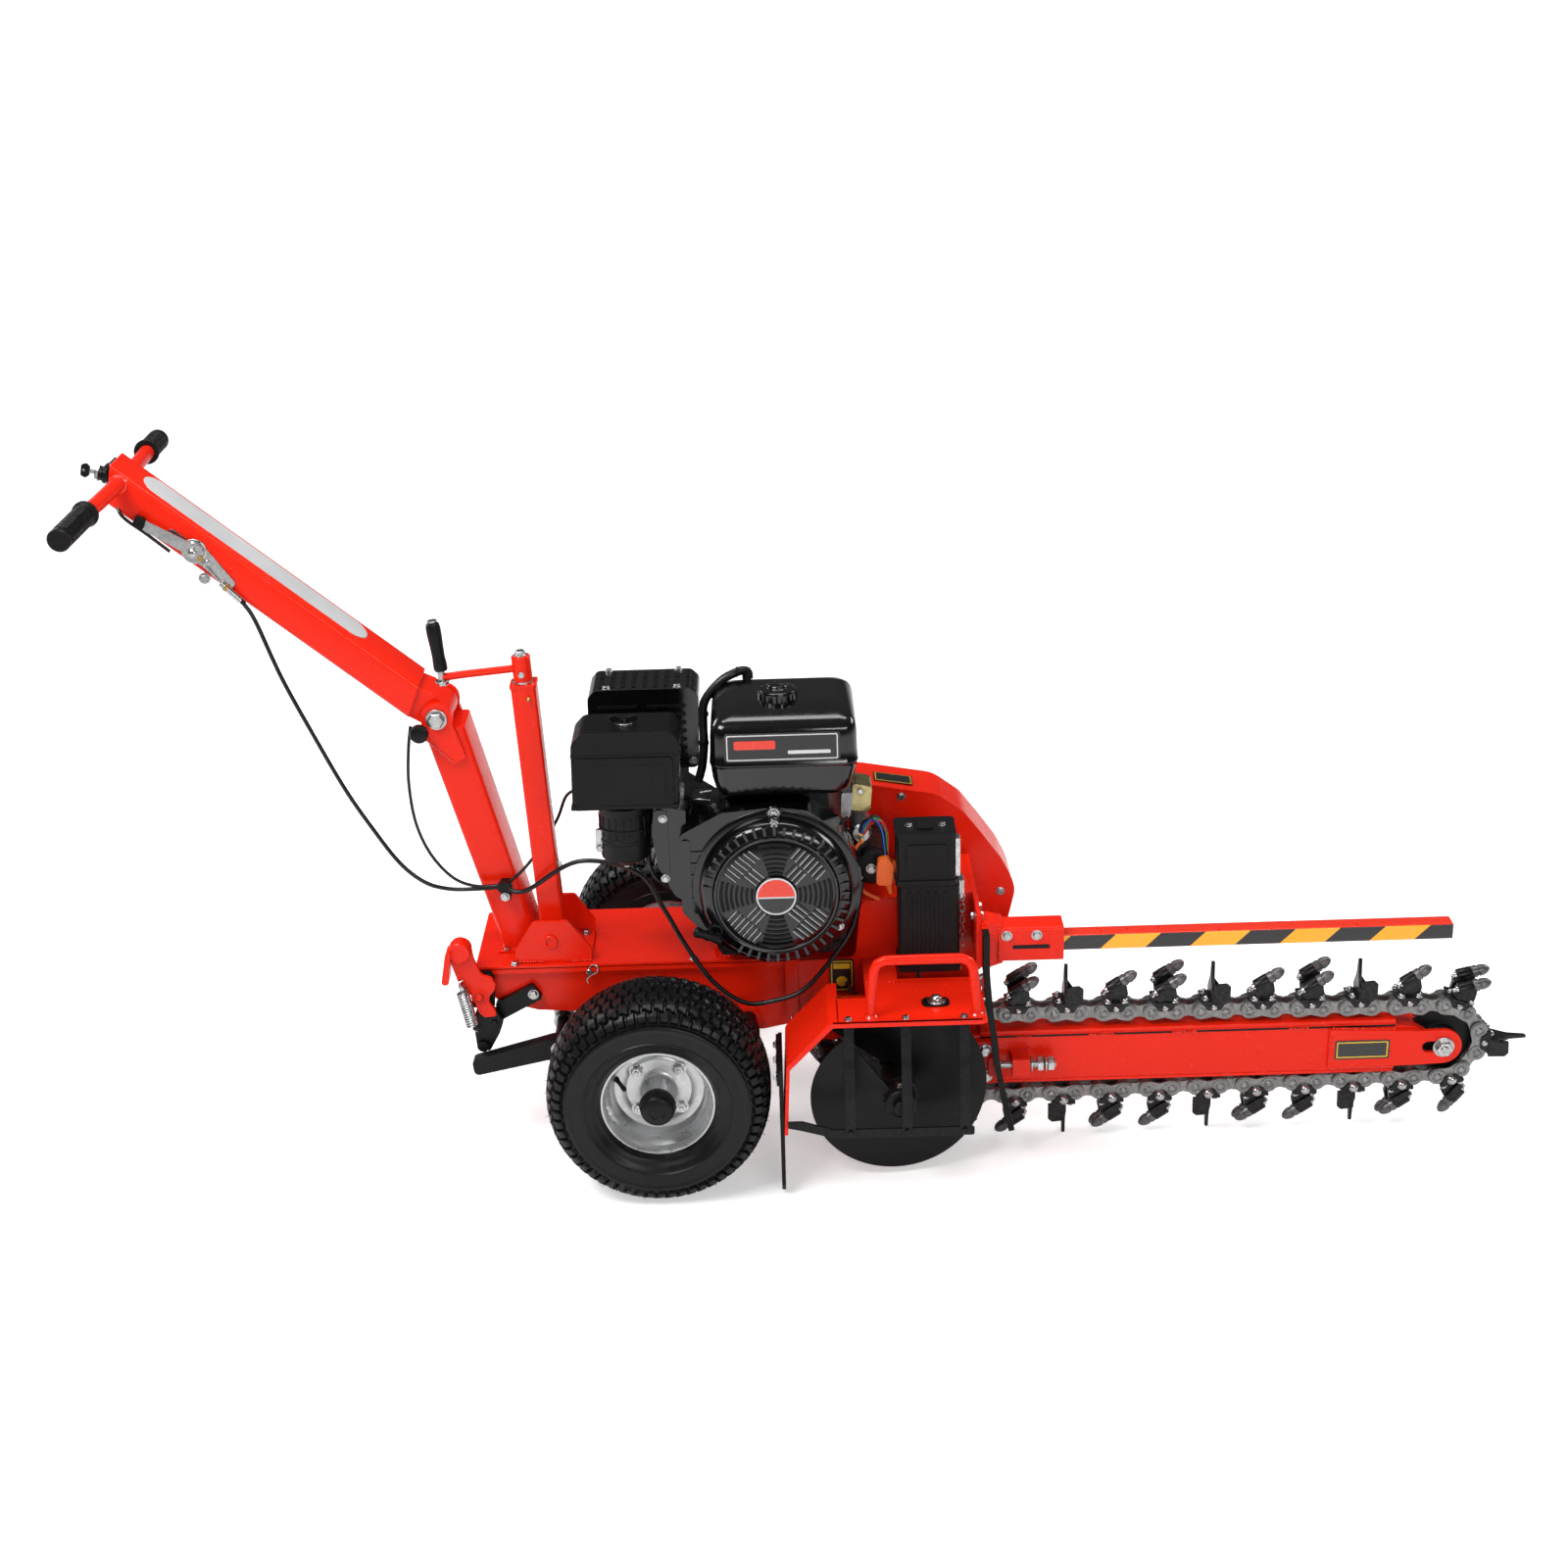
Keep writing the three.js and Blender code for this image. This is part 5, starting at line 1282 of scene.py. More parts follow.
# ---------------------------------------------------------------- deck
part = Piece(RED)
part.prism(rect(-318, 225, -112, 112, 5), 326, 332, holes=[rect(-204, -156, -65, -15, 3, 2)],
           axis="z")
for y0, y1 in ((-112, -107), (107, 112)):
    part.prism([(-318, 318), (225, 318), (225, 328), (-318, 328)], y0, y1)
part.box(-318, -313, -108, 108, 318, 328)
side_plate = fillet([(-316, 327), (-288, 262), (-214, 240), (-206, 240), (-150, 236),
                     (100, 234), (125, 196), (175, 190), (225, 200), (225, 327)],
                    [4, 22, 16, 6, 6, 20, 16, 20, 6, 4], 5)
for side in (-1, 1):
    part.prism(side_plate, 94 * side, 100 * side)
    for x0, x1 in ((-300, -210), (-140, 90)):
        part.weld((x0, 101 * side, 325), (x1, 101 * side, 325), 2.6)
    part.ring(14, 22, 100, 107, 30, at(CARRIER_PIVOT), (0, side, 0))
for y0, y1 in ((-96, -66), (26, 56)):
    part.slab(96, 225, y0, y1, 331, 352, 4, axis="x")
    part.weld((98, y0 - 1, 333), (222, y0 - 1, 333), 2.6)
for y in (-104, 104):
    for x in (-250, 60):
        part.bolt((x, y, 332), UP, 5.6)
# pin through the near side plate with its ring clip
part.rod((-122, -100, 318), (-122, -116, 318), 5, 20, 1, finish=ZINC)
part.tube([(-122, -113, 324), (-116, -114, 331), (-107, -114, 328), (-108, -114, 318),
           (-118, -114, 312), (-126, -114, 304), (-124, -114, 296)], 1.4, 8, 6, ZINC)
part.build("deck_weldment", "frame", "red_paint", "deck_frame", bevel=1.2)

# ---------------------------------------------------------------- drive housing
part = Piece(RED)
cheek = fillet([(226, 326), (338, 330), (350, 436), (548, 447), (548, 110), (330, 110),
                (226, 196)], [4, 14, 14, 8, 10, 30, 10], 5)
for y0, y1, hole_radius in ((-112, -106, 30), (50, 56, 26)):
    part.prism(cheek, y0, y1,
               holes=[circle(DRIVE, hole_radius, 36), circle(JACKSHAFT, 16, 24)])
part.prism([(540, 110), (548, 110), (548, 447), (540, 447)], -107, 51)
part.slab(540, 548, -204, -106, 350, 447, 1.5)
part.prism([(225.6, 200), (231, 200), (231, 326), (225.6, 326)], -108, 52)
part.prism([(350, 431), (548, 441.5), (548, 447), (350, 436.4)], -108, 52)
# shaft bearing with its flange bolts
part.lathe([(13.2, -124), (40, -124), (44, -121), (44, -110), (13.2, -110)], 48, at(DRIVE),
           closed=True)
part.lathe([(13.2, -132), (27, -132), (30, -129), (30, -123), (13.2, -123)], 40, at(DRIVE),
           closed=True, finish=CASTING)
for k in range(4):
    part.bolt(at(polar(DRIVE, 36, pi / 4 + k * pi / 2), -124), NEAR, 4.6)
# socket round the boom tube
part.prism([(500, 124), (508, 124), (508, 208), (500, 208)], -202, -118)
for y0, y1 in ((-202, -190), (-130, -118)):
    part.slab(500, 572, y0, y1, 124, 206, 6)
part.weld((574, -124, 126), (574, -124, 204), 2.4)
part.slab(560, 572, -222, -201, 150, 184, 3)
part.weld((549, -196, 352), (549, -196, 444), 2.6)
part.weld((229, -113.5, 210), (229, -113.5, 322), 2.8)
part.weld((352, -109, 436.5), (540, -109, 446.5), 2.6)
part.bolt((540, -150, 420), LEFT, 6)
for z in (190, 140):
    part.bolt((556, -202, z), NEAR, 8)
for y in (-180, -144):
    part.bolt((548, y, 436), RIGHT, 5.4)
part.build("drive_housing_weldment", "frame", "red_paint", "drive_housing", bevel=1.2)

# ---------------------------------------------------------------- left post and fold pivot
part = Piece(RED)
POST_HALF = 46                  # half the post's width across
part.extrude([(x, y, 332.4) for x, y in rect(-273, -209, -POST_HALF, POST_HALF, 9, 5)],
             [(x, y, 745 + (x + 382) / 70 * 5)
              for x, y in rect(-382, -312, -POST_HALF, POST_HALF, 9, 5)])
for side in (-1, 1):
    part.prism(arc(FOLD, 27, -20, 15, 15) + [(-380, 738), (-330, 688), (-312, 700)],
               44.4 * side, 56 * side)
    part.weld((-378, 55.68 * side, 736), (-332, 55.68 * side, 690), 2.8)
    part.weld((-272, 47.4 * side, 334.5), (-210, 47.4 * side, 334.5), 3.2)
for x in (-275, -207):
    part.weld((x, -42, 334), (x, 42, 334), 3.2)
# flange plate at the foot
part.prism(fillet([(-284, -58), (-204, -58), (-204, -50), (-250, -48.4), (-284, -48.4)], 2),
           332.4, 336, axis="z")
part.bolt((-268, -54, 336), UP, 5.4, washer=False)
part.build("rear_post_weldment", "frame", "red_paint", "rear_post", bevel=1.0)

part = Piece(ZINC)
part.rod(at(FOLD, -64), at(FOLD, 64), 8, 24, .6)
for side in (-1, 1):
    part.lathe(mirrored([(0, 57), (17.5, 57), (18, 57.8), (18, 59.6), (17.4, 60), (0, 60)],
                        side), 36, at(FOLD))
    part.bolt(at(FOLD, 59.6 * side), (0, side, 0), 12.4, 8.5, washer=False)
part.build("pivot_bolt", "frame", "zinc", "fold_bolt", bevel=.5)


# ---------------------------------------------------------------- handle
def beam_section(bottom, top):
    """Rounded section of the beam between its lower and upper edge, both (x, z)."""
    depth = math.hypot(top[0] - bottom[0], top[1] - bottom[1])
    return [(bottom[0] + (top[0] - bottom[0]) * (v / depth), y,
             bottom[1] + (top[1] - bottom[1]) * (v / depth))
            for y, v in rect(-46, 46, 0, depth, 10, 5)]


BEAM_FOOT, BEAM_END = (-382, 828), (-847, 1218)         # on the beam's upper edge
part = Piece(RED)
part.extrude(beam_section((-405, 768), BEAM_FOOT), beam_section((-862, 1154), BEAM_END),
             flip=True)
# tongue between the post's lugs
part.prism([(-392, 824), (-366, 812)] + arc(FOLD, 25, 60, -15, 13) + [(-408, 772)], -38.6, 38.6)
part.weld((-848, -40, 1216), (-848, 40, 1216), 2.2)
part.weld((-861, -40, 1158), (-861, 40, 1158), 2.2)
# plain silver plate on the top face, with a thin red surround
foot = Vector(at(BEAM_FOOT))
along = (Vector(at(BEAM_END)) - foot).normalized()
normal = Vector((along.z, 0, -along.x))
part.sheet(rect(112, 556, -33, 33, 32.6, 10), foot, along, normal, -.3, .8, BADGE)
part.sheet(rect(114, 554, -31, 31, 30.6, 10), foot, along, normal, .2, .9, SILVER)
part.build("handle_beam", "handle", "red_paint", "handle_tube", bevel=.9)

part = Piece(RED)
for side in (-1, 1):
    part.tube([(-838, 40 * side, 1187), (-838, 60 * side, 1187), (-843, 120 * side, 1184),
               (-850, 190 * side, 1179.6), (-860.5, 316 * side, 1172)], 12.6, 28, 6)
    part.lathe([(12, 0), (16.4, 0), (15, 3), (12, 4.4)], 28, (-838, 46 * side, 1187),
               (0, side, 0), closed=True, finish=RED_WELD)
part.build("handlebar_tube", "handle", "red_paint", "handlebar", bevel=.4, segs=1)

for label, side in (("near", -1), ("far", 1)):
    part = Piece(RUBBER)
    start, end = Vector((-851, 196 * side, 1180)), Vector((-861.4, 322 * side, 1171.6))
    length = (end - start).length
    profile = [(0, 0), (12.8, 0), (20, 0), (21.4, 1.6), (21.4, 5), (19.6, 7.4), (17.2, 9.4)]
    for k in range(15):
        z = 13 + k * 6.6
        profile += [(17.2, z), (18.3, z + 1.2), (18.3, z + 3.4), (17.2, z + 4.6)]
    profile += [(17.2, length - 12), (18.6, length - 9), (18.6, length - 3), (16.4, length),
                (0, length)]
    part.lathe(profile, 40, start, end - start)
    along = (end - start).normalized()
    u = square_to(Vector((1, 0, 0)), along)
    w = along.cross(u)
    for k in range(12):
        out = (u * cos(2 * pi * k / 12) + w * sin(2 * pi * k / 12)) * 17.4
        part.rod(start + along * 12 + out, start + along * (length - 14) + out, 1.5, 6)
    part.build(f"{label}_hand_grip", "handle", "grip_rubber", f"grip_{label}")

# key switch on the end of the beam
KEY_AXIS = Vector((-.9743, 0, .2252))
KEY_PLACE = Vector((-855, -20, 1196))
part = Piece(PLASTIC)
part.lathe([(0, 0), (15.4, 0), (15.4, 10), (14, 11.4), (12, 12), (12, 20), (11, 21), (0, 21)],
           32, KEY_PLACE, KEY_AXIS)
part.lathe([(11.8, 18), (14.4, 18), (14.4, 22), (12.6, 23.4), (0, 23.4), (0, 19)], 6, KEY_PLACE,
           KEY_AXIS, finish=ZINC)
part.lathe([(0, 22), (9, 22), (9, 24.2), (7.6, 25), (0, 25)], 28, KEY_PLACE, KEY_AXIS,
           finish=ZINC)
part.slab(-858.2, -855.3, -38, 34, 1180, 1214, 8, SATIN, axis="x")
part.lathe([(0, 0), (9, 0), (9, 12), (7, 14), (0, 14)], 24, (-857.5, 12, 1197), KEY_AXIS)
for y in (-34, 30):
    part.bolt((-858, y, 1186), LEFT, 3, washer=False)
part.tube([(-850, -24, 1186), (-846, -34, 1160), (-838, -50, 1136), (-800, -53, 1104),
           (-766, -54, 1074)], 3, 10, 6, WIRE)
part.build("key_switch_set", "handle", "black_plastic", "key_switch", bevel=.5, segs=1)
part = Piece(PLASTIC)
part.matrix = tilted(KEY_PLACE, math.atan2(.2252, .9743))
part.slab(-44, -24, -1.1, 1.1, -3, 3, 1, ZINC)
part.prism(fillet([(-48, -9), (-40, -12), (-34, -7), (-34, 7), (-40, 12), (-48, 9)], 3),
           -2.4, 2.4, holes=[circle((-43.4, 0), 2.2, 14)])
part.build("ignition_key", "key", "zinc", "key", bevel=.4, segs=1)

# throttle on the near side of the beam
THROTTLE = (-728, 1072)
part = Piece(ZINC)
part.lathe([(0, -46.4), (20.4, -46.4), (20.8, -47.4), (20.8, -50.4), (20, -51), (17.2, -51.4),
            (16.6, -54), (0, -54)], 48, at(THROTTLE))
part.prism(fillet([(-738, 1058), (-722, 1054), (-676, 1004), (-666, 1016), (-708, 1076),
                   (-730, 1084)], 6), -50.6, -47)
part.prism(fillet([(-772, 1096), (-742, 1074), (-734, 1090), (-762, 1114)], 6), -49.6, -46.6)
for x, z in ((-749, 1090), (-709, 1052)):
    part.lathe([(0, 0), (6.4, 0), (6, 2.4), (4, 3.8), (0, 4)], 22, (x, -50, z), NEAR)
part.bolt((-716, -50, 1026), NEAR, 6.6)
part.rod((-690, -52, 1018), (-660, -52, 986), 6, 20, .8)
part.bolt((-684, -52, 1011.6), (30, 0, -32), 6.6, 6, BRASS, washer=False)
part.rod((-664, -52, 990), (-655, -52, 980.5), 4.2, 16, .5, finish=PLASTIC)
part.tube([(-690, -53, 1018), (-712, -56, 1046), (-728, -57, 1058)], 1.1, 8, 4, STEEL)
part.build("throttle_base", "handle", "zinc", "throttle_body", bevel=.5)
part = Piece(ZINC)
part.lathe([(0, -54.6), (17, -54.6), (17.4, -55.4), (17.4, -58.6), (16.4, -59.4), (0, -59.4)],
           44, at(THROTTLE))
part.prism(fillet([(-722, 1060), (-716, 1082), (-796, 1128), (-815, 1136), (-818, 1126),
                   (-800, 1110)], [6, 6, 8, 5, 5, 8], 5), -60, -56.6)
part.prism(fillet([(-820, 1122), (-812, 1139), (-796, 1131), (-803, 1114)], 4), -64, -53.6,
           RUBBER)
part.bolt(at(THROTTLE, -59.4), NEAR, 6.4, 4, dome=True)
part.rod((-716, -58, 1062), (-716, -64, 1062), 4.6, 18, .6, finish=BRASS)
part.build("throttle_arm", "throttle_lever", "zinc", "throttle_lever", bevel=.5)

part = Piece(PLASTIC)
part.lathe([(0, -56.5), (7, -56.5), (7, -64), (9, -65.5), (13.6, -68), (15.6, -72),
            (15.6, -81), (14, -85), (9, -86.8), (0, -87)], 36, (-384, 0, 752))
part.lathe([(0, -57), (9.6, -57), (9.6, -61), (0, -61)], 6, (-384, 0, 752), finish=ZINC)
part.build("lock_knob_ball", "lock_knob", "black_plastic", "lock_knob", bevel=.3, segs=1)

# ---------------------------------------------------------------- jack column and crank
# In the column's own frame x is across it, y as elsewhere and z up the column.
COLUMN = tilted((-184, 0, 339), -math.atan2(20.5, 431))
COLUMN_Y = -40
COLUMN_FOOT = (0, COLUMN_Y, 0)


def column_piece(finish):
    part = Piece(finish)
    part.matrix = COLUMN
    return part


def square_tube(part, z0, z1, half, wall, radius):
    def section(h, r, steps):
        return rect(-h, h, COLUMN_Y - h, COLUMN_Y + h, r, steps)

    part.prism(section(half, radius, 5), z0, z1, axis="z",
               holes=[section(half - wall, max(.8, radius - wall), 3)])


part = column_piece(RED)
square_tube(part, 1.5, 484, half=21, wall=3.4, radius=5)
part.prism(rect(-22.6, 22.6, -62.6, -17.4, 5), 482, 488, holes=[circle((0, COLUMN_Y), 8, 20)],
           axis="z")
part.rod((8, -60, 466), (8, -68, 466), 3.4, 16, finish=BRASS)
part.lathe([(0, 0), (2.6, 0), (3.4, 3), (2, 5), (0, 5.4)], 16, (8, -68, 466), NEAR, finish=BRASS)
part.bolt((21, COLUMN_Y, 150), RIGHT, 6)
part.build("jack_outer_tube", "frame", "red_paint", "jack_column", bevel=.8)
part = column_piece(STEEL)
square_tube(part, -150, 260, half=16.4, wall=3, radius=3.5)
part.build("jack_sliding_tube", "jack_tube", "steel", "jack_inner_tube", bevel=.6, segs=1)

part = column_piece(RED)
part.lathe([(0, 489), (15.4, 489), (16.2, 490), (16.2, 533), (15, 535), (0, 535)], 36,
           COLUMN_FOOT, UP)
part.lathe([(0, 488.4), (18.6, 488.4), (18.6, 492), (0, 492)], 36, COLUMN_FOOT, UP, finish=ZINC)
part.lathe([(0, 20), (7, 20), (7, 488.6), (0, 488.6)], 20, COLUMN_FOOT, UP, finish=STEEL)
part.bolt((0, -56, 506), NEAR, 5, 5, washer=False)
part.bolt((0, COLUMN_Y, 535), UP, 8, 7)
part.matrix = Matrix.Identity(4)
arm_start = COLUMN @ Vector((0, COLUMN_Y, 514))
part.tube([arm_start, (-230, -50, 853), (-300, -66, 852), (-326, -75, 852), (-337, -78, 853)],
          6.5, 20, 6)
part.rod((-337, -78, 846), (-345.9, -78, 951), 6, 20, .6, finish=ZINC)
part.bolt((-336.5, -78, 847), (8.2, 0, -84), 8.6, 7)
part.lathe([(0, 0), (8.4, 0), (8.4, 2), (5, 3), (0, 3)], 24, (-345.8, -78, 949), (-8.2, 0, 84),
           finish=ZINC)
part.build("crank_handle_arm", "crank", "red_paint", "crank_arm", bevel=.6)
part = Piece(PLASTIC)
start, end = Vector((-337.6, -78, 864)), Vector((-345.8, -78, 947))
length = (end - start).length
part.lathe([(6.6, 0), (10, 0), (11.4, 2), (11.6, 10), (10.6, 24), (11.2, 44), (12.2, 62),
            (12.2, 74), (11, length - 2), (8, length), (6.6, length)], 36, start, end - start,
           closed=True)
part.build("crank_hand_grip", "crank_grip", "grip_rubber", "crank_grip")

# column bracket
part = Piece(RED)
part.prism(fillet([(-249, 333), (-249, 355), (-215, 409), (-155, 409), (-117, 357),
                   (-117, 333)], [4, 10, 8, 8, 10, 4]), -100, -92.6)
part.prism(fillet([(-199, 333), (-199, 409), (-150, 409), (-117, 357), (-117, 333)],
                  [4, 8, 8, 10, 4]), 12.4, 20)
part.box(-199, -118, -99, 19, 332.4, 338.4)
part.weld((-160, -101, 334.5), (-120, -101, 334.5), 2.8)
part.weld((-246, -101, 335), (-200, -101, 335), 2.8)
part.rod((-187, -92, 372), (-187, -62.4, 372), 12, 30)
part.rod((-187, 13, 372), (-187, -17.5, 372), 12, 30)
part.lathe([(0, -100), (11.6, -100), (12.2, -101), (12.2, -104), (11.4, -104.8), (7.6, -104.8),
            (7.6, -101.4), (0, -101.4)], 40, (-187, 0, 372))
for y in (-80, 0):
    part.bolt((-133, y, 338.4), UP, 6.2)
part.build("jack_column_bracket", "frame", "red_paint", "column_bracket", bevel=1.0)

# ---------------------------------------------------------------- foot latch
LATCH_PIVOT, LATCH_BOSS = (-311, 290), (-338, 378)
part = Piece(RED)
part.prism(fillet([(-358, 382), (-353, 393), (-339, 397), (-325, 392), (-318, 379), (-316, 362),
                   (-305, 330), (-288, 324), (-282, 314), (-284, 302), (-294, 290), (-295, 278),
                   (-286, 263), (-284, 252), (-304, 250), (-312, 256), (-317, 269), (-323, 293),
                   (-337, 299), (-344, 314), (-349, 333), (-354, 351)],
                  [8, 8, 12, 10, 10, 14, 14, 8, 8, 9, 9, 9, 6, 3, 3, 8, 12, 12, 10, 12, 16, 14],
                  5), -141, -132.4, holes=[circle(LATCH_PIVOT, 8.2, 24)])
part.lathe([(0, -152), (17, -152), (19, -150), (19, -124), (17, -122), (0, -122)], 40,
           at(LATCH_BOSS))
part.prism(fillet([(-361, 380), (-351, 384), (-359, 324), (-368, 322), (-371, 328)],
                  [4, 4, 3, 4, 3]), -160, -124)
part.weld((-356, -128, 378), (-356, -148, 378), 2.4)
part.ring(8.3, 14, -142.4, -128.6, 28, at(LATCH_PIVOT))
part.lathe([(0, -141), (5, -141), (5, -153), (3.6, -155), (0, -155)], 18, (-338, 0, 312),
           finish=ZINC)
part.build("foot_lever", "foot_latch", "red_paint", "foot_latch", bevel=1.3)
part = Piece(SATIN)
part.prism(fillet([(-328, 262), (-288, 258), (-284, 326), (-322, 318)], 6), -126, -118.6)
part.box(-318, -290, -119, -99, 300, 326)
part.rod(at(LATCH_PIVOT, -118), at(LATCH_PIVOT, -146), 8, 24)
part.lathe([(0, -142.6), (10, -142.6), (10, -145), (0, -145)], 28, at(LATCH_PIVOT), finish=RED)
part.bolt(at(LATCH_PIVOT, -144.6), NEAR, 6.4, 4, RED, washer=False, dome=True)
# short plate to the right of the lever
part.prism(fillet([(-288, 262), (-222, 296), (-205, 270), (-286, 226)], 5), -114, -101)
part.bolt((-221, -114, 278), NEAR, 6.4)
part.prism(fillet([(-323, 182), (-301, 180), (-282, 214), (-274, 236), (-286, 258),
                   (-320, 260), (-326, 230)], [5, 5, 10, 8, 8, 6, 10]), -132, -117)
part.rod((-312, -116, 191), (-312, -139, 191), 10, 26, .8)
part.bolt((-290, -132, 234), NEAR, 5, 4, SATIN, washer=False)
part.build("latch_pivot_bracket", "frame", "black_steel", "latch_bracket", bevel=.9)

# coil spring with a hooked tail at each end
COILS, COIL_STEPS, COIL_RADIUS = 15, 12, 9.4
part = Piece(ZINC)
start, end = Vector((-338, -151, 306)), Vector((-325, -151, 240))
length = (end - start).length
along = (end - start).normalized()
across = Vector((0, 1, 0))
square = along.cross(across)
path = [start + Vector((2, 8, 18)), start + Vector((-5, 5, 16)), start + Vector((-4, 0, 9))]
for k in range(COILS * COIL_STEPS + 1):
    angle = 2 * pi * k / COIL_STEPS
    path.append(start + along * (length * k / (COILS * COIL_STEPS))
                + (across * cos(angle) + square * sin(angle)) * COIL_RADIUS)
path += [end + Vector((1, 0, -8)), end + Vector((7, 6, -14)), end + Vector((9, 14, -12))]
part.tube(path, 2.0, 8)
part.build("latch_coil_spring", None, "zinc", "latch_spring",
           blend=("frame", "foot_latch", (-.325, -.151, .24), (-.338, -.151, .306)))

# ---------------------------------------------------------------- belt drive
PULLEY_NEAR, PULLEY_FAR = 94, 128


def pulley(part, centre, r, hole):
    """Pulley with two grooves."""
    y0, y1 = PULLEY_NEAR, PULLEY_FAR
    m = (y0 + y1) / 2
    part.lathe([(r - 10, y0), (r - 1, y0), (r, y0 + 1), (r - .6, m - 12), (r - 13, m - 4),
                (r - 13, m - 3), (r - .6, m - 1), (r, m), (r - .6, m + 1), (r - 13, m + 3),
                (r - 13, m + 4), (r - .6, m + 12), (r, y1 - 1), (r - 1, y1), (r - 10, y1),
                (r - 12, y1 - 8), (hole + 14, y1 - 10), (hole + 12, y1), (hole, y1), (hole, y0),
                (hole + 12, y0), (hole + 14, y0 + 8), (r - 12, y0 + 8)], 72, at(centre),
               closed=True)


part = Piece(CASTING)
part.rod(at(CRANKSHAFT, 66.5), at(CRANKSHAFT, 132), 12.5, 32, .8, finish=STEEL)
pulley(part, CRANKSHAFT, 60, 12.6)
part.box(202, 210, 120, 129, 517, 521, STEEL)
part.bolt(at(CRANKSHAFT, 132), FAR, 8, 6)
part.build("engine_drive_pulley", "engine_shaft", "steel", "engine_pulley", bevel=.5, segs=1)
part = Piece(CASTING)
pulley(part, JACKSHAFT, 124, 12.2)
for k in range(6):
    part.lathe([(15, 92.2), (16, 93), (16, 94.2), (15, 95)], 24,
               at(polar(JACKSHAFT, 70, k * pi / 3)), closed=True)
    if k % 2:
        part.bolt(at(polar(JACKSHAFT, 34, k * pi / 3), 94), NEAR, 4.4, washer=False)
part.build("driven_belt_pulley", "jackshaft", "dark_steel", "driven_pulley", bevel=.5, segs=1)
part = Piece(STEEL)
part.rod(at(JACKSHAFT, -60), at(JACKSHAFT, 150), 12, 32, .8)
part.prism(toothed(JACKSHAFT, 14, 30, 36.5), -44, -32, CHAIN)
part.ring(12, 22, -50, -30, 30, at(JACKSHAFT))
part.box(JACKSHAFT[0] - 3, JACKSHAFT[0] + 3, 60, 92, JACKSHAFT[1] + 10, JACKSHAFT[1] + 14)
part.build("jackshaft_set", "jackshaft", "steel", "jackshaft", bevel=.5, segs=1)

part = Piece(RUBBER)
for y in (100, 112):
    part.prism(around(CRANKSHAFT, 58.5, JACKSHAFT, 122.5), y, y + 10,
               holes=[around(CRANKSHAFT, 49, JACKSHAFT, 113)])
part.build("drive_belt_pair", "frame", "flap_rubber", "drive_belt", bevel=1, segs=1)

# reduction roller chain from the jackshaft down to the head shaft
path = [Vector(p) for p in around(JACKSHAFT, 38, DRIVE, 118, 40)]
path.append(path[0])
path_length = sum((path[i + 1] - path[i]).length for i in range(len(path) - 1))
ROLLER_COUNT = round(path_length / 15.875)
ROLLER_STEP = path_length / ROLLER_COUNT


def path_point(s):
    s %= path_length
    for i in range(len(path) - 1):
        length = (path[i + 1] - path[i]).length
        if s <= length:
            return path[i] + (path[i + 1] - path[i]) * (s / length)
        s -= length
    return path[0]


part = Piece(CHAIN)
half = ROLLER_STEP / 2
plate = ([polar((half, 0), 6, -pi / 2 + pi * k / 5) for k in range(6)] + [(0, 4.4)]
         + [polar((-half, 0), 6, pi / 2 + pi * k / 5) for k in range(6)] + [(0, -4.4)])
for i in range(ROLLER_COUNT):
    part.matrix = link_frame(path_point(i * ROLLER_STEP), path_point((i + 1) * ROLLER_STEP), -38)
    y0 = 6.8 if i % 2 else 5
    for side in (-1, 1):
        part.prism(plate, y0 * side, (y0 + 1.6) * side)
    part.lathe([(0, -9), (2.6, -9), (2.6, -4.8), (5, -4.8), (5, 4.8), (2.6, 4.8), (2.6, 9),
                (0, 9)], 12, (-half, 0, 0), finish=PIN)
part.build("reduction_roller_chain", "frame", "dark_steel", "reduction_chain")

part = Piece(CHAIN)
part.prism(toothed(DRIVE, 44, 109, 116), -44, -32,
           holes=[circle(polar(DRIVE, 66, k * pi / 3), 22, 26) for k in range(6)]
           + [circle(DRIVE, 13, 24)])
part.ring(12.8, 32, -56, -26, 36, at(DRIVE), finish=STEEL)
part.build("large_reduction_sprocket", "head_shaft", "dark_steel", "large_sprocket",
           bevel=.5, segs=1)
part = Piece(SATIN)
part.lathe([(0, -352), (11, -352), (12.5, -350.5), (12.5, 68.5), (11.5, 70), (0, 70)], 32,
           at(DRIVE))
part.bolt(at(DRIVE, -339), NEAR, 8.5, 6, SATIN)
part.lathe([(12, 56.5), (24, 56.5), (26, 58), (26, 66), (12, 66)], 32, at(DRIVE), closed=True,
           finish=CASTING)
part.build("head_shaft_bar", "head_shaft", "steel", "head_shaft", bevel=.4, segs=1)

# ---------------------------------------------------------------- belt cover
part = Piece(RED)
cover = fillet([(135, 440), (135, 585), (250, 584), (363, 579), (492, 556), (540, 520),
                (571, 479), (606, 430), (621, 400), (632, 371), (618, 309), (590, 230),
                (560, 205), (480, 205)],
               [16, 16, 60, 60, 60, 60, 60, 60, 60, 60, 60, 40, 30, 30], 7)
cover_inside, flange = inset(cover, 4), inset(cover, -1.4)
part.prism(cover, 70, 171, holes=[cover_inside])
part.prism(cover, 170.5, 174.8)
part.prism(flange, 70, 74, holes=[cover_inside])
part.prism(flange, 66, 70.4, holes=[circle(CRANKSHAFT, 40, 40), circle(JACKSHAFT, 17, 30)])
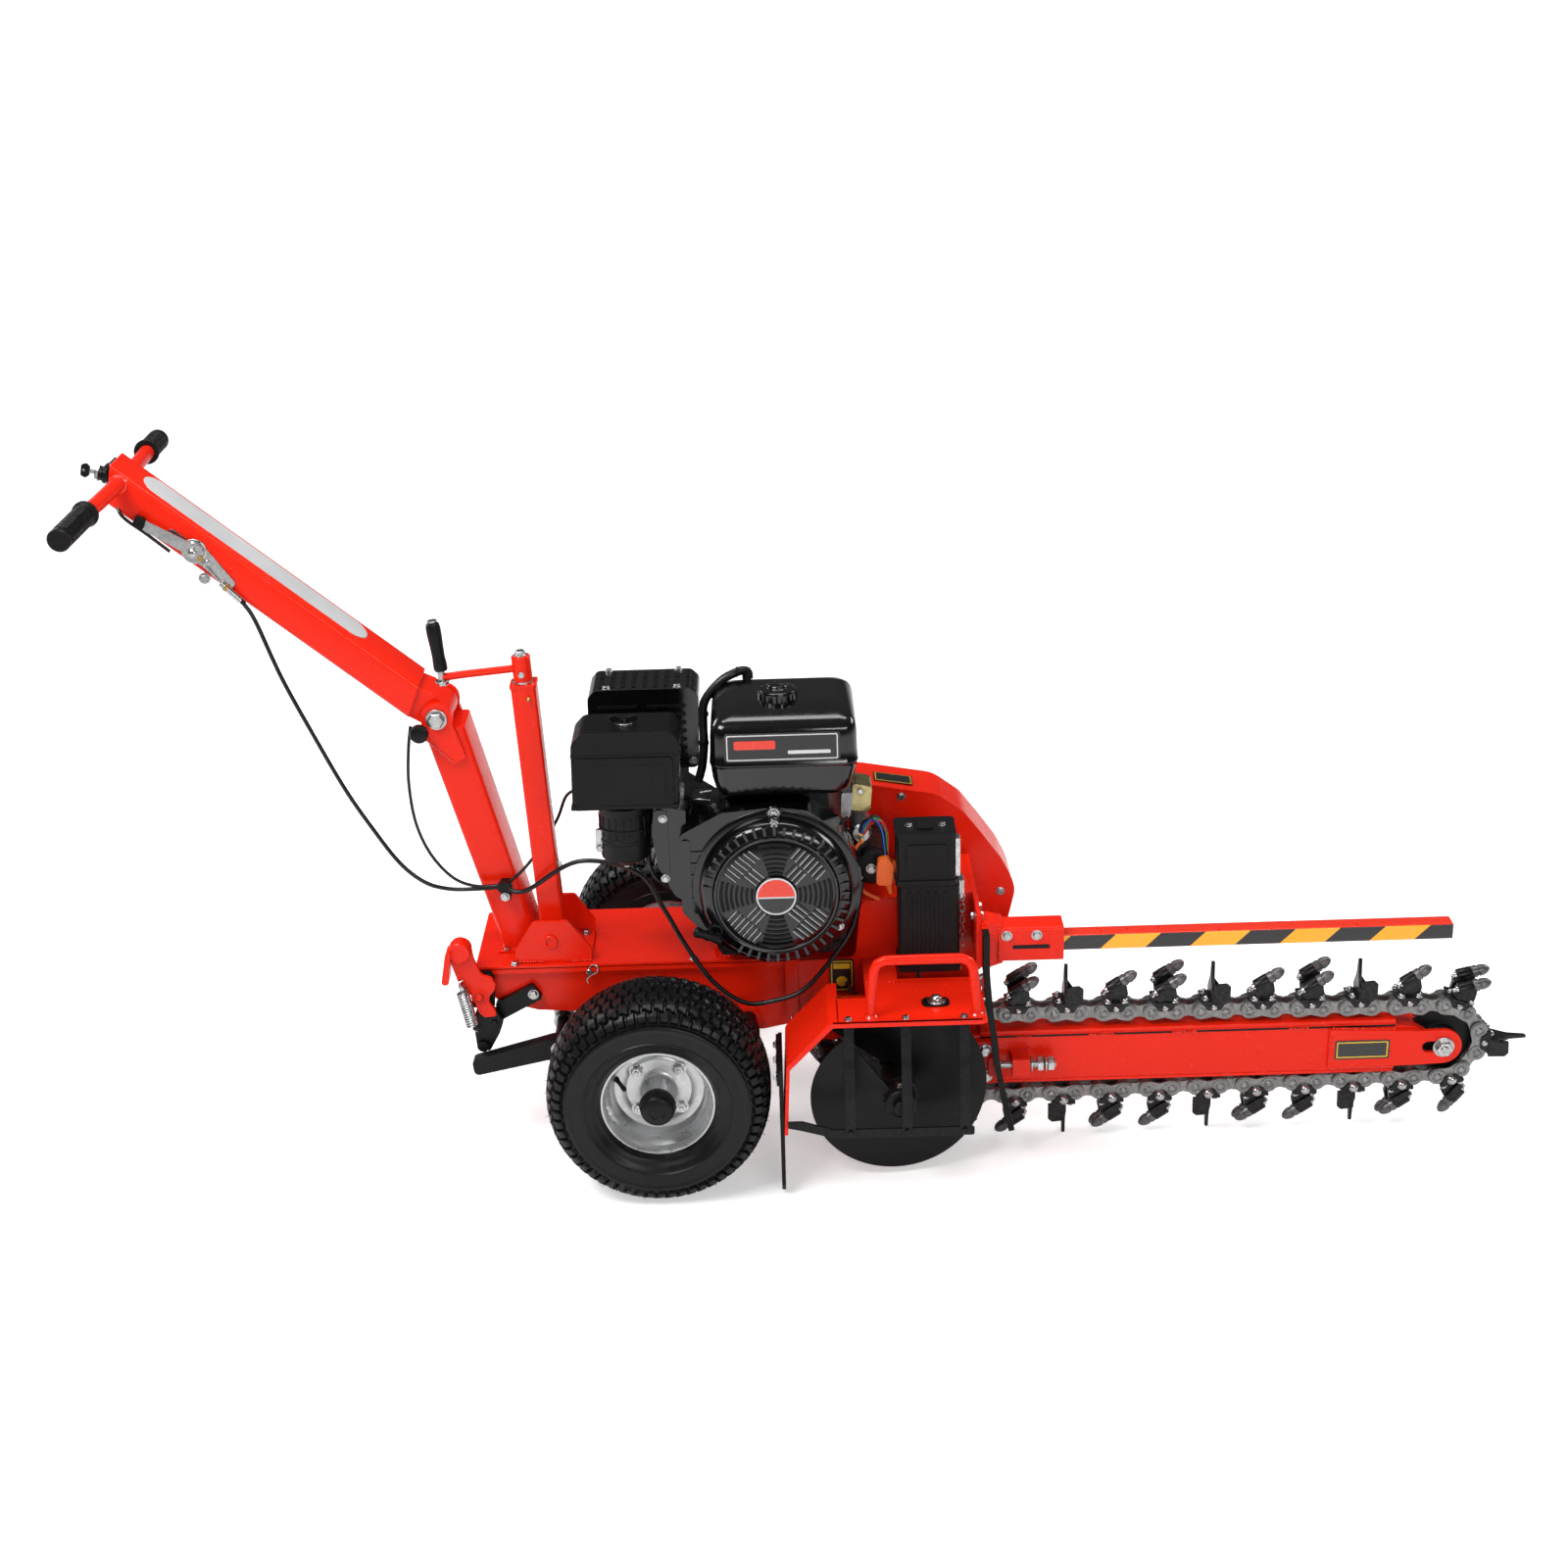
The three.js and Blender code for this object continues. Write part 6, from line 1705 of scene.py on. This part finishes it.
# bolts round the far face, a little over 104 apart
last = None
for place in inset(cover, 13):
    if last is None or math.dist(place, last) > 104:
        part.bolt(at(place, 174.8), FAR, 5.6)
        last = place
part.build("belt_cover_shell", "frame", "red_paint", "belt_cover", bevel=2.4, segs=3, angle=40)
part = Piece(ZINC)
for x, z in ((196, 572), (430, 554), (590, 290), (606, 366)):
    part.bolt((x, 66, z), NEAR, 5.4)
part.bolt((330, 65.8, 486), NEAR, 9)
part.build("belt_cover_brackets", "frame", "red_paint", bevel=.9)

# plain bordered plate on the cover's sloping top
part = Piece(BLACK)
start, end = Vector((384, 0, 576.4)), Vector((452, 0, 565))
length = (end - start).length
along = (end - start).normalized()
normal = Vector((-along.z, 0, along.x))
for offset, margin, finish in ((.2, 0, BLACK), (.5, 2.2, YELLOW), (.8, 3.8, BLACK)):
    outline = rect(margin, length - margin, 92 + margin, 132 - margin, 0)
    part.sheet(outline, start, along, normal, offset, .6, finish)
part.build("belt_cover_plain_plate", "frame", "red_paint")

# ---------------------------------------------------------------- battery box
part = Piece(GREY)
for x0, x1, y0, y1, z0, z1, r in (
        (408, 506, -190, -113, 495, 588, 8), (411, 513, -190, -113, 338, 496, 8),
        (405, 509, -193, -111, 498, 507, 9), (406, 508, -192, -112, 580, 590, 9)):
    part.slab(x0, x1, y0, y1, z0, z1, r, axis="z")
part.slab(424, 492, -192.4, -189, 516, 572, 6)
for k in range(5):
    part.slab(426 + k * 15, 432 + k * 15, -192.2, -189, 352, 486, 2.8)
part.slab(409, 515, -192, -111, 338, 346, 7, axis="z")
part.bolt((430, -150, 590), UP, 4.6)
part.slab(444, 470, -170, -130, 589, 594, 5, axis="z")
part.bolt((486, -150, 590), UP, 4.6)
part.build("battery_case", "frame", "grey_plastic", "battery_box", bevel=1.8, segs=3, angle=40)
part = Piece(PLASTIC)
part.slab(420, 508, -182, -121, 342, 470, 5, axis="z")
for x in (436, 492):
    part.lathe([(0, 470), (7, 470), (6, 482), (0, 482)], 20, (x, -150, 0), UP, finish=STEEL)
part.build("battery_cell", "frame", "black_plastic", "battery", bevel=1.2)

part = Piece(ZINC)
part.prism(fillet([(514, 470), (522, 470), (522, 496), (510, 496)], 2), -170, -140)
part.slab(515, 521, -166, -144, 462, 478, 1.5)
# hanging chain, its links turned a quarter from one to the next
for k in range(9):
    centre = Vector((520, -152, 458 - k * 10.6))
    path = []
    for j in range(15):
        x, z = 4.4 * cos(2 * pi * j / 14), 7.4 * sin(2 * pi * j / 14)
        path.append(centre + Vector((0, x, z) if k % 2 else (x, 0, z)))
    part.tube(path, 1.2, 7)
for z in (560, 524):
    part.bolt((506, -172, z), RIGHT, 4, washer=False)
part.slab(506, 514, -186, -164, 512, 580, 2)
part.build("battery_latch_and_link", "frame", "zinc", bevel=.4, segs=1)

# ---------------------------------------------------------------- auger
FLIGHT_START, FLIGHT_SWEEP = 2.2, 1.05 * 2 * pi         # radians
FLIGHT_NEAR, FLIGHT_FAR, FLIGHT_STEPS = -324, -216, 150
# (radius, y from the middle of the flight)
FLIGHT_SECTION = ((24, -2.6), (60, -2.6), (104, -2.4), (147, -2.0), (150, -1.2), (150, 1.2),
                  (147, 2.0), (104, 2.4), (60, 2.6), (24, 2.6))


def helix_point(swept, radius, dy):
    y = FLIGHT_NEAR + swept / FLIGHT_SWEEP * (FLIGHT_FAR - FLIGHT_NEAR)
    return at(polar(DRIVE, radius, FLIGHT_START + swept), y + dy)


part = Piece(SATIN)
part.lathe([(12.8, -338), (24, -338), (26, -336), (26, -208), (24, -206), (12.8, -206)], 48,
           at(DRIVE), closed=True)
part.lathe([(26, -300), (31, -299), (31, -290), (26, -289)], 40, at(DRIVE), closed=True)
part.loft([[helix_point(i / FLIGHT_STEPS * FLIGHT_SWEEP, r, dy) for r, dy in FLIGHT_SECTION]
           for i in range(FLIGHT_STEPS + 1)])
for k in range(5):
    part.weld(helix_point(k * 1.3, 27, -3), helix_point(k * 1.3 + .7, 27, -3), 2.8, SATIN)
part.bolt((DRIVE[0], -318, DRIVE[1] + 26), UP, 6)
part.build("auger_flight", "head_shaft", "black_steel", "auger", bevel=.6, segs=1, angle=50)

# ---------------------------------------------------------------- auger hood
HOOD_BOLTS = (318, 412, 508)
HANDLE_Y = -330
part = Piece(RED)
part.box(300, 545, -352, -262, 322, 328)
part.box(350, 545, -263, -204.6, 322, 328)
part.prism([(-263, 328), (-263, 323), (-112.6, 257), (-112.6, 262)], 300, 351, axis="x")
part.prism(fillet([(302, 328), (286, 328), (214, 250), (208, 122)], [0, 14, 14, 0], 5, False)
           + fillet([(214, 122), (220, 248), (289, 322), (302, 322)], [0, 10, 10, 0], 5, False),
           -352, -204.6)
part.prism(fillet([(540, 328), (289, 328), (216, 250), (216, 240), (292, 320.4),
                   (540, 320.4)], [2, 8, 8, 3, 8, 2]), -352.6, -346)
part.box(350, 406, -206, -112.6, 322, 328)
part.weld((354, -208, 329), (400, -208, 329), 2.4)
part.box(406, 545, -206, -195, 322, 328)
for x in HOOD_BOLTS:
    part.bolt((x, -338, 328), UP, 4.6)
for z in (146, 190):
    part.bolt((207, HANDLE_Y, z), LEFT, 6)
# hoop handle and its welds
part.tube([(x, HANDLE_Y, z) for x, z in (
    (356, 327), (357, 360), (360, 400), (362, 414), (367, 424), (378, 430), (400, 430.4),
    (443, 430.6), (490, 430.4), (506, 430), (517, 424), (523, 414), (524.6, 400), (528, 360),
    (530, 327))], 8.4, 22)
for x in (356, 530):
    part.lathe([(7.8, 328), (13.4, 328), (11.6, 330.8), (8.6, 333.4)], 24, (x, HANDLE_Y, 0), UP,
               closed=True, finish=RED_WELD)
part.build("auger_hood_weldment", "frame", "red_paint", "auger_hood", bevel=1.2)

# plain bordered plate with a bar and a dot
part = Piece(YELLOW)
part.slab(293, 336, -114.2, -112.2, 266, 328, 4, BLACK)
part.prism(rect(296, 333, 269, 325, 3), -114.8, -113.6, holes=[rect(298, 331, 271, 323, 2)])
part.slab(300, 329, -114.8, -113.6, 310, 320, 2)
part.lathe([(0, -114.8), (9.5, -114.8), (9.5, -113.6), (0, -113.6)], 32, (314.5, 0, 286))
part.build("hood_plain_plate", "frame", "red_paint")
part = Piece(RED)
part.slab(216, 238, -118, -108, 222, 336, 3)
part.weld((238.6, -116, 228), (238.6, -116, 332), 2.4)
part.build("deck_joint_strip", "frame", "red_paint", bevel=1)
part = Piece(PLASTIC)
part.slab(442, 488, -302, -270, 327.6, 330.8, 12, axis="z", steps=6)
part.lathe([(0, 330), (15, 330), (15.6, 331), (15.6, 332.6), (14.4, 333.4), (0, 333.4)], 36,
           (466, -286, 0), UP, finish=ZINC)
part.bolt((466, -286, 333), UP, 9.4, 9, washer=False, dome=True)
part.build("hood_clamp_bolt", "frame", "black_plastic", bevel=.8, angle=40)

# ---------------------------------------------------------------- guard bars and flaps
part = Piece(SATIN)
bar_path = [(-350.6, 319.6), (-352.4, 262), (-356.4, 246), (-360, 214), (-362.6, 196),
            (-362.8, 122)]      # (y, z)
bar_outline = fillet([(y - 1.6, z) for y, z in bar_path]
                     + [(y + 1.6, z) for y, z in bar_path[::-1]], .8, 2)
for x in HOOD_BOLTS:
    part.prism(bar_outline, x - 8.4, x + 8.4, axis="x")
    part.bolt((x, -364.4, 130), NEAR, 4.2, 3, SATIN, washer=False)
part.slab(280, 524, -362, -358, 119, 135, 4)
part.prism(fillet([(290, 119), (290, 135), (238, 152), (214, 152), (214, 140), (232, 136)], 3),
           -361, -357)
part.build("guard_bar_set", "frame", "black_steel", "guard_bars", bevel=.6, segs=1)

part = Piece(RUBBER)
part.prism(fillet([(-350, 26), (-338, 9), (-226, 12), (-206, 22), (-206, 240), (-350, 240)],
                  [3, 5, 12, 5, 4, 4]), 201.2, 207.8, axis="x")
part.slab(197.4, 201.4, -349, -208, 213, 238, 3, SATIN, axis="x")
for y in (-336, -278, -226):
    part.bolt((197.6, y, 225.5), LEFT, 5.4)
part.build("near_rubber_flap", "frame", "flap_rubber", "left_flap", bevel=.8)
part = Piece(RED)
hang = fillet([(552.5, 430), (553, 360), (559, 290), (568, 225), (571, 190), (584, 120),
               (597, 60)], 40, closed=False)
part.prism(strip_outline(hang, 10.5), -253, -222, RUBBER)
part.slab(548.6, 556, -221, -204, 396, 428, 2)
part.bolt((556, -212, 412), RIGHT, 4.6)
part.box(549, 553, -221, -204, 300, 330)
part.build("chain_side_strip", "frame", "flap_rubber", "right_strip", bevel=.7)


# ---------------------------------------------------------------- cables
def cable(name, points, radius, *replaces, blend=None):
    part = Piece(WIRE)
    part.tube(points, radius, 12, 9)
    part.build(name, "frame", "black_plastic", *replaces, blend=blend)


cable("throttle_cable_sheath",
      [(-656, -52, 980), (-640, -54, 950), (-606, -58, 850), (-560, -60, 740), (-520, -61, 650),
       (-482, -62, 580), (-440, -62, 512), (-400, -62, 474), (-360, -62, 460), (-315, -64, 459),
       (-270, -66, 462)], 3.6, "throttle_cable",
      blend=("frame", "handle", (-.45, -.06, .53), (-.64, -.054, .95)))
cable("stop_cable_sheath",
      [(-400, -60, 760), (-406, -66, 720), (-410, -70, 660), (-404, -72, 590), (-384, -70, 530),
       (-350, -68, 484), (-312, -67, 466), (-268, -67, 466)], 2.8)
cable("cable_to_engine_rear",
      [(-262, -66, 464), (-228, -40, 486), (-196, -12, 520), (-170, 0, 560), (-150, -20, 610),
       (-120, -60, 640)], 2.8)
cable("cable_along_deck",
      [(-262, -66, 462), (-226, -76, 458), (-131.0, -86, 514.8), (-31.0, -96, 495.9),
       (10.7, -118, 440.2), (49.2, -150, 380.3), (94.2, -178, 323.9), (146.7, -196, 292.2),
       (196.8, -200, 296.3), (247.2, -200, 315.1), (298.4, -190, 369.4), (333.1, -170, 417.4),
       (351.7, -146, 487.7)], 4.1)
part = Piece(PLASTIC)
part.slab(-274, -250, -72, -60, 454, 472, 6)
part.bolt((-262, -72, 446), NEAR, 5.4)
part.box(-270, -254, -64, -46, 436, 470)
part.build("cable_clip_block", "frame", "zinc", bevel=.8, segs=1)


# ---------------------------------------------------------------- lights, in metres and watts
def area_light(name, place, target, size, size_y, power):
    light = bpy.data.lights.new(name, "AREA")
    light.energy = power
    light.size = size
    light.shape = "RECTANGLE"
    light.size_y = size_y
    made = bpy.data.objects.new(name, light)
    scene.collection.objects.link(made)
    made.location = place
    aim = Vector(target) - Vector(place)
    made.rotation_euler = aim.to_track_quat("-Z", "Y").to_euler()


area_light("key_softbox", place=(-1.9, -1.9, 3.6), target=(.1, 0, .4), size=2.0, size_y=1.3,
           power=112)
area_light("front_strip", place=(1.6, -4.4, 2.2), target=(.2, 0, .4), size=2.6, size_y=.7,
           power=52)
area_light("rim_right", place=(3.6, 1.4, 2.6), target=(.3, 0, .4), size=2.0, size_y=1.2,
           power=50)
area_light("back_left", place=(-3.2, 2.4, 2.6), target=(-.4, 0, .5), size=2.0, size_y=1.2,
           power=44)
area_light("top_strip", place=(.1, .5, 4.2), target=(.1, 0, .5), size=3.2, size_y=.9, power=60)

# ---------------------------------------------------------------- world
# Even fill for surfaces, a dim gradient in reflections and white towards the camera.
world = bpy.data.worlds.new("studio")
scene.world = world
world.use_nodes = True
tree = world.node_tree
tree.nodes.clear()
WHITE = (1, 1, 1, 1)
rays = add_node(tree, "LightPath").outputs
fill = add_node(tree, "Background", {"Color": WHITE, "Strength": .36})
sky_direction = add_node(tree, "TexCoord").outputs["Generated"]
sky_height = add_node(tree, "SeparateXYZ", {0: sky_direction}).outputs[2]
gradient = map_range(tree, sky_height, from_min=-.1, from_max=.9, to_min=.02, to_max=.24)
reflected = add_node(tree, "Background", {"Strength": gradient})
lit = add_node(tree, "MixShader", {
    0: rays["Is Glossy Ray"], 1: fill.outputs[0], 2: reflected.outputs[0]})
backdrop = add_node(tree, "Background", {"Color": WHITE, "Strength": 1.05})
seen = add_node(tree, "MixShader", {
    0: rays["Is Camera Ray"], 1: lit.outputs[0], 2: backdrop.outputs[0]})
add_node(tree, "OutputWorld", {0: seen.outputs[0]})

# ---------------------------------------------------------------- floor, in metres
mesh = bpy.data.meshes.new("floor")
mesh.from_pydata([(-60, -30, 0), (60, -30, 0), (60, 90, 0), (-60, 90, 0)], [], [(0, 1, 2, 3)])
floor = bpy.data.objects.new("floor", mesh)
scene.collection.objects.link(floor)
pale = material("floor_pale", (.93, .93, .93), rough=.8, vary=0., bump=0., rough_vary=.02,
                spec=.1)
mesh.materials.append(pale)
# a little light of its own towards the camera, more far out, keeps the floor white
tree = pale.node_tree
shader = tree.nodes["Principled BSDF"]
to_camera = add_node(tree, "LightPath").outputs["Is Camera Ray"]
position = add_node(tree, "NewGeometry").outputs["Position"]
distance = add_node(tree, "VectorMath", {0: position}, operation="LENGTH").outputs["Value"]
glow = map_range(tree, distance, from_min=1.6, from_max=6., to_min=.42, to_max=.85)
feed(tree, shader.inputs["Emission Strength"], calculate(tree, "MULTIPLY", to_camera, glow))
feed(tree, shader.inputs["Emission Color"], WHITE)

# ---------------------------------------------------------------- camera
camera = bpy.data.cameras.new("cam")
camera.lens = 54
camera.sensor_width = 36
camera.clip_end = 200
camera_object = bpy.data.objects.new("cam", camera)
scene.collection.objects.link(camera_object)
scene.camera = camera_object
PITCH_DOWN, ROLL = math.radians(22), math.radians(1.7)
forward = Vector((0, cos(PITCH_DOWN), -sin(PITCH_DOWN)))
level_right = Vector((1, 0, 0))
level_up = Vector((0, sin(PITCH_DOWN), cos(PITCH_DOWN)))
right = cos(ROLL) * level_right - sin(ROLL) * level_up
up = sin(ROLL) * level_right + cos(ROLL) * level_up
view = Matrix((right, up, -forward)).transposed().to_4x4()
view.translation = Vector((.224298, -3.765553, 2.132805)) + OFFSET * MM
camera_object.matrix_world = view
scene.view_settings.view_transform = "Standard"

# ---------------------------------------------------------------- finishes of the CAD nodes
FINISHES = {
    "red_paint": RED, "striped_paint": RED, "zinc": ZINC, "grip_rubber": RUBBER,
    "black_plastic": PLASTIC, "steel": STEEL, "black_steel": SATIN, "tyre": TYRE,
    "silver_rim": RIM, "cast_engine": CASTING, "cast_alloy": CASTING, "gloss_black": GLOSS,
    "dark_steel": CHAIN, "grey_plastic": GREY, "flap_rubber": RUBBER}
slots = {entry["node"]: entry["material_slot"] for entry in frame["record"]["subparts"]}
for name, node in frame["nodes"].items():
    node.data.materials.clear()
    node.data.materials.append(FINISHES[slots[name]])
